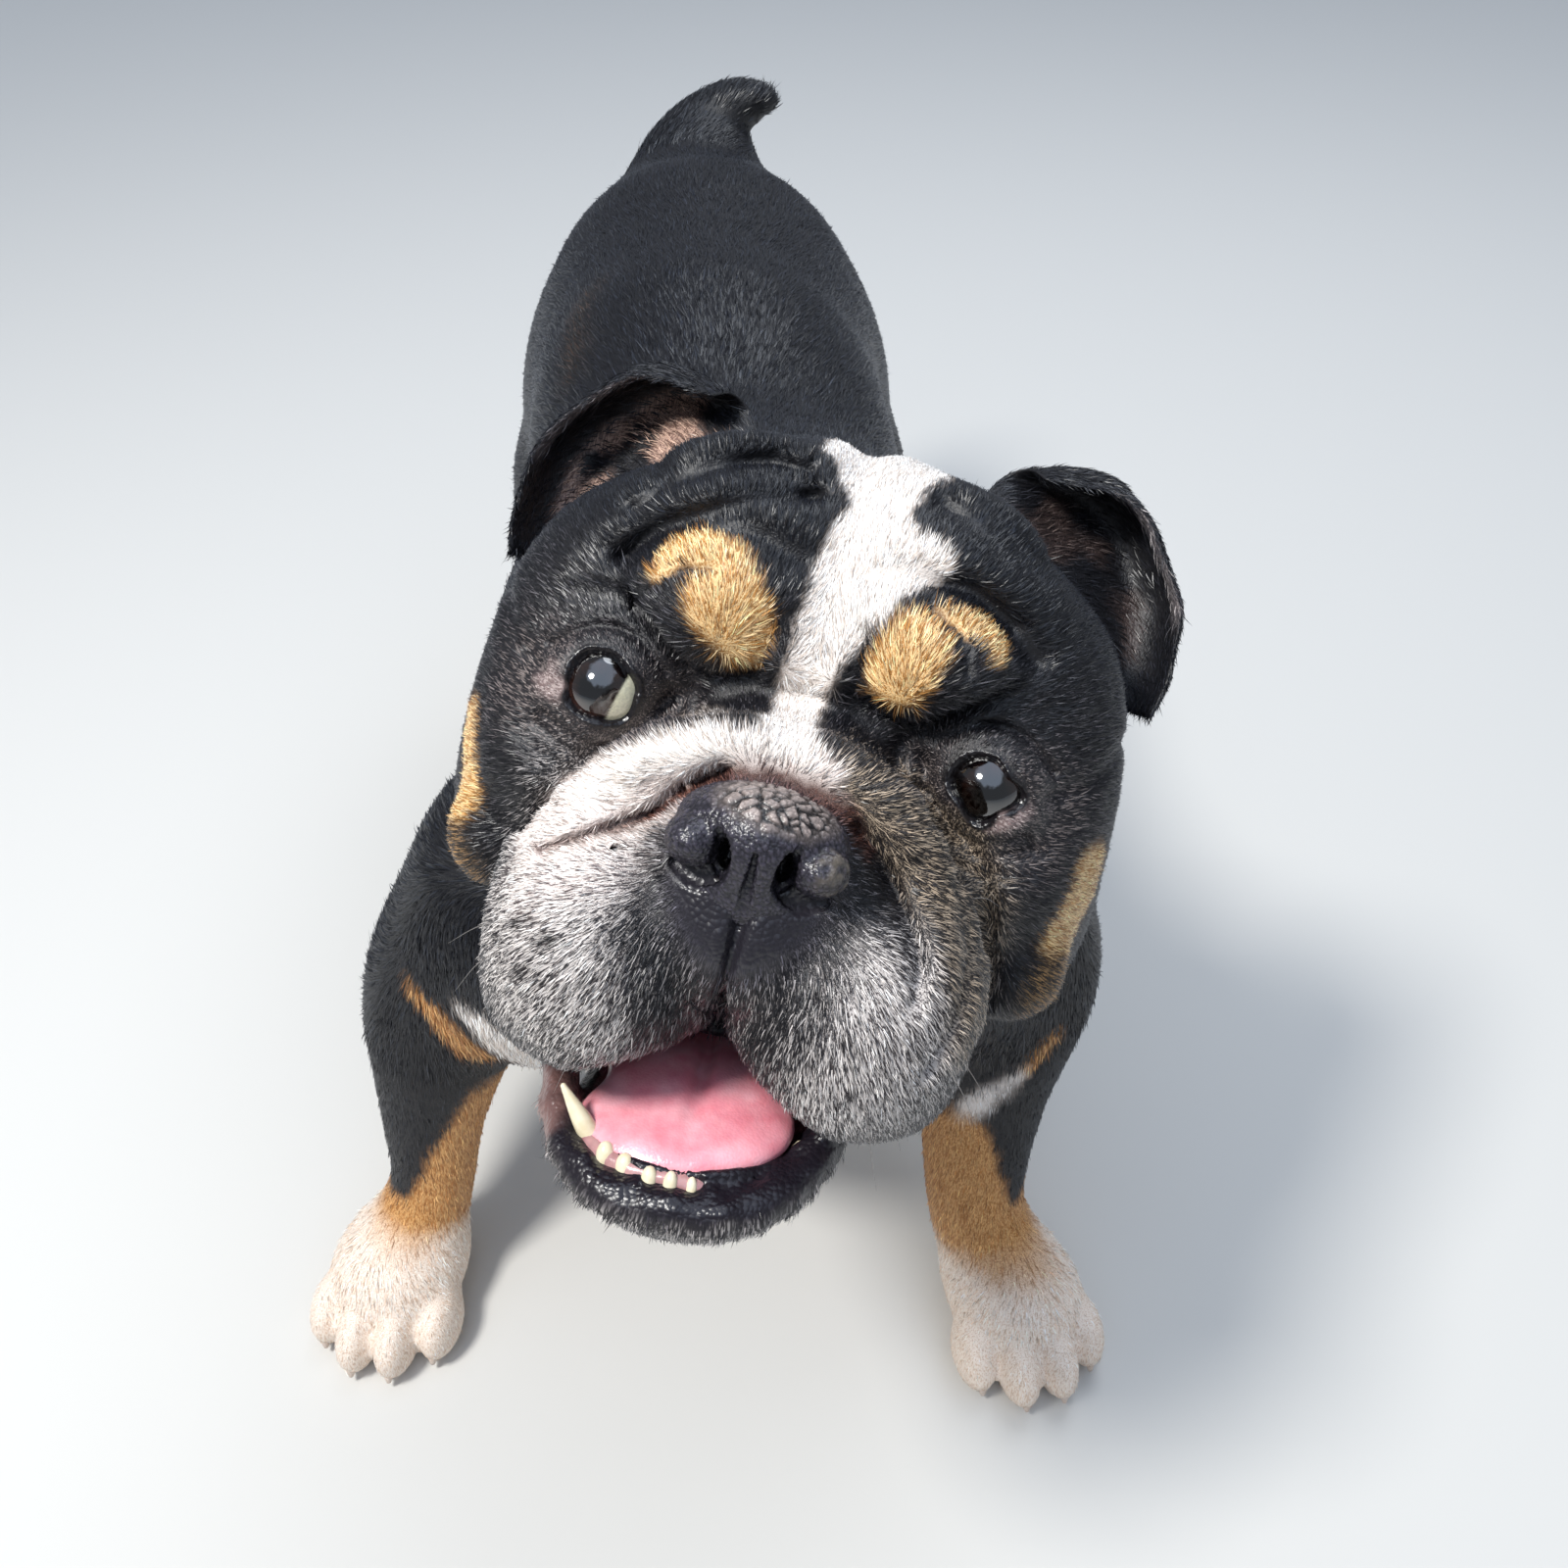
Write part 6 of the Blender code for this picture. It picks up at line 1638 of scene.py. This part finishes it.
# Floor, lights and camera: a plain pale floor, a broad soft light from above, a cooler one from behind, and the
# camera held over the dog's head, looking down at it.
CAMERA_PLACE = np.array((0.0029, -0.5711, 0.6175)) + BODY_SHIFT
CAMERA_DOWN, CAMERA_RIGHT = radians(41), radians(3)
CAMERA_FOCAL_SHARE = 1500 / 1600


def pale_floor():
    """A floor of matt paint, pale and even."""
    material, shader = new_material("pale_floor")
    shader.inputs["Base Color"].default_value = (*linear("#cfcdc8"), 1)
    shader.inputs["Roughness"].default_value = 0.9
    return material


floor = mesh_object("floor", ((-4, -4, 0), (4, -4, 0), (4, 4, 0), (-4, 4, 0)), ((0, 1, 2, 3),), smooth=False)
floor.data.materials.append(pale_floor())


def soft_light(name, place, target, width, power, colour):
    """A round soft box that faces the dog."""
    light = bpy.data.lights.new(name, "AREA")
    light.shape = "DISK"
    light.size = width
    light.energy = power
    light.color = colour
    box = bpy.data.objects.new(name, light)
    box.location = place
    box.rotation_euler = (Vector(target) - Vector(place)).to_track_quat("-Z", "Y").to_euler()
    bpy.context.scene.collection.objects.link(box)


soft_light("key_light", (-0.75, -0.65, 1.75), (0.0, -0.15, 0.25), 0.40, 35, (1.0, 0.98, 0.94))
soft_light("rim_light", (0.6, 0.8, 1.9), (0.0, 0.0, 0.25), 1.2, 14, (0.88, 0.93, 1.0))


def cloudy_sky():
    """A dim sky all round with a bright bank of cloud high up in front, as wet eyes mirror it."""
    sky = bpy.data.worlds.new("cloudy_sky")
    sky.use_nodes = True
    place = add(sky, "ShaderNodeTexCoord")
    clouds = add(sky, "ShaderNodeTexNoise", links=[("Vector", place, "Generated")],
                 sockets=[("Scale", 3.5), ("Detail", 6.0)])
    toward = add(sky, "ShaderNodeVectorMath", [("operation", "DOT_PRODUCT")], [(0, place, "Generated")],
                 [(1, (0.0, -0.26, 0.966))])
    height = add(sky, "ShaderNodeMath", [("operation", "MULTIPLY_ADD")], [(0, clouds, "Fac"), (2, toward, "Value")],
                 [(1, 0.35)])
    ramp = add(sky, "ShaderNodeValToRGB", links=[("Fac", height, "Value")])
    ramp.color_ramp.elements[0].position, ramp.color_ramp.elements[1].position = 0.90, 1.0
    ramp.color_ramp.elements[0].color = (0.20, 0.215, 0.24, 1)
    ramp.color_ramp.elements[1].color = (0.95, 1.12, 1.4, 1)
    wire(sky, ramp, "Color", sky.node_tree.nodes["Background"], "Color")
    return sky


bpy.context.scene.world = cloudy_sky()

camera_data = bpy.data.cameras.new("camera")
camera_data.lens = camera_data.sensor_width * CAMERA_FOCAL_SHARE
camera_data.clip_start = 0.01
camera = bpy.data.objects.new("camera", camera_data)
camera.location = CAMERA_PLACE
ahead = Vector((sin(CAMERA_RIGHT) * cos(CAMERA_DOWN), cos(CAMERA_RIGHT) * cos(CAMERA_DOWN), -sin(CAMERA_DOWN)))
camera.rotation_euler = ahead.to_track_quat("-Z", "Y").to_euler()
bpy.context.scene.collection.objects.link(camera)
bpy.context.scene.camera = camera
bpy.context.scene.view_settings.view_transform = "Standard"
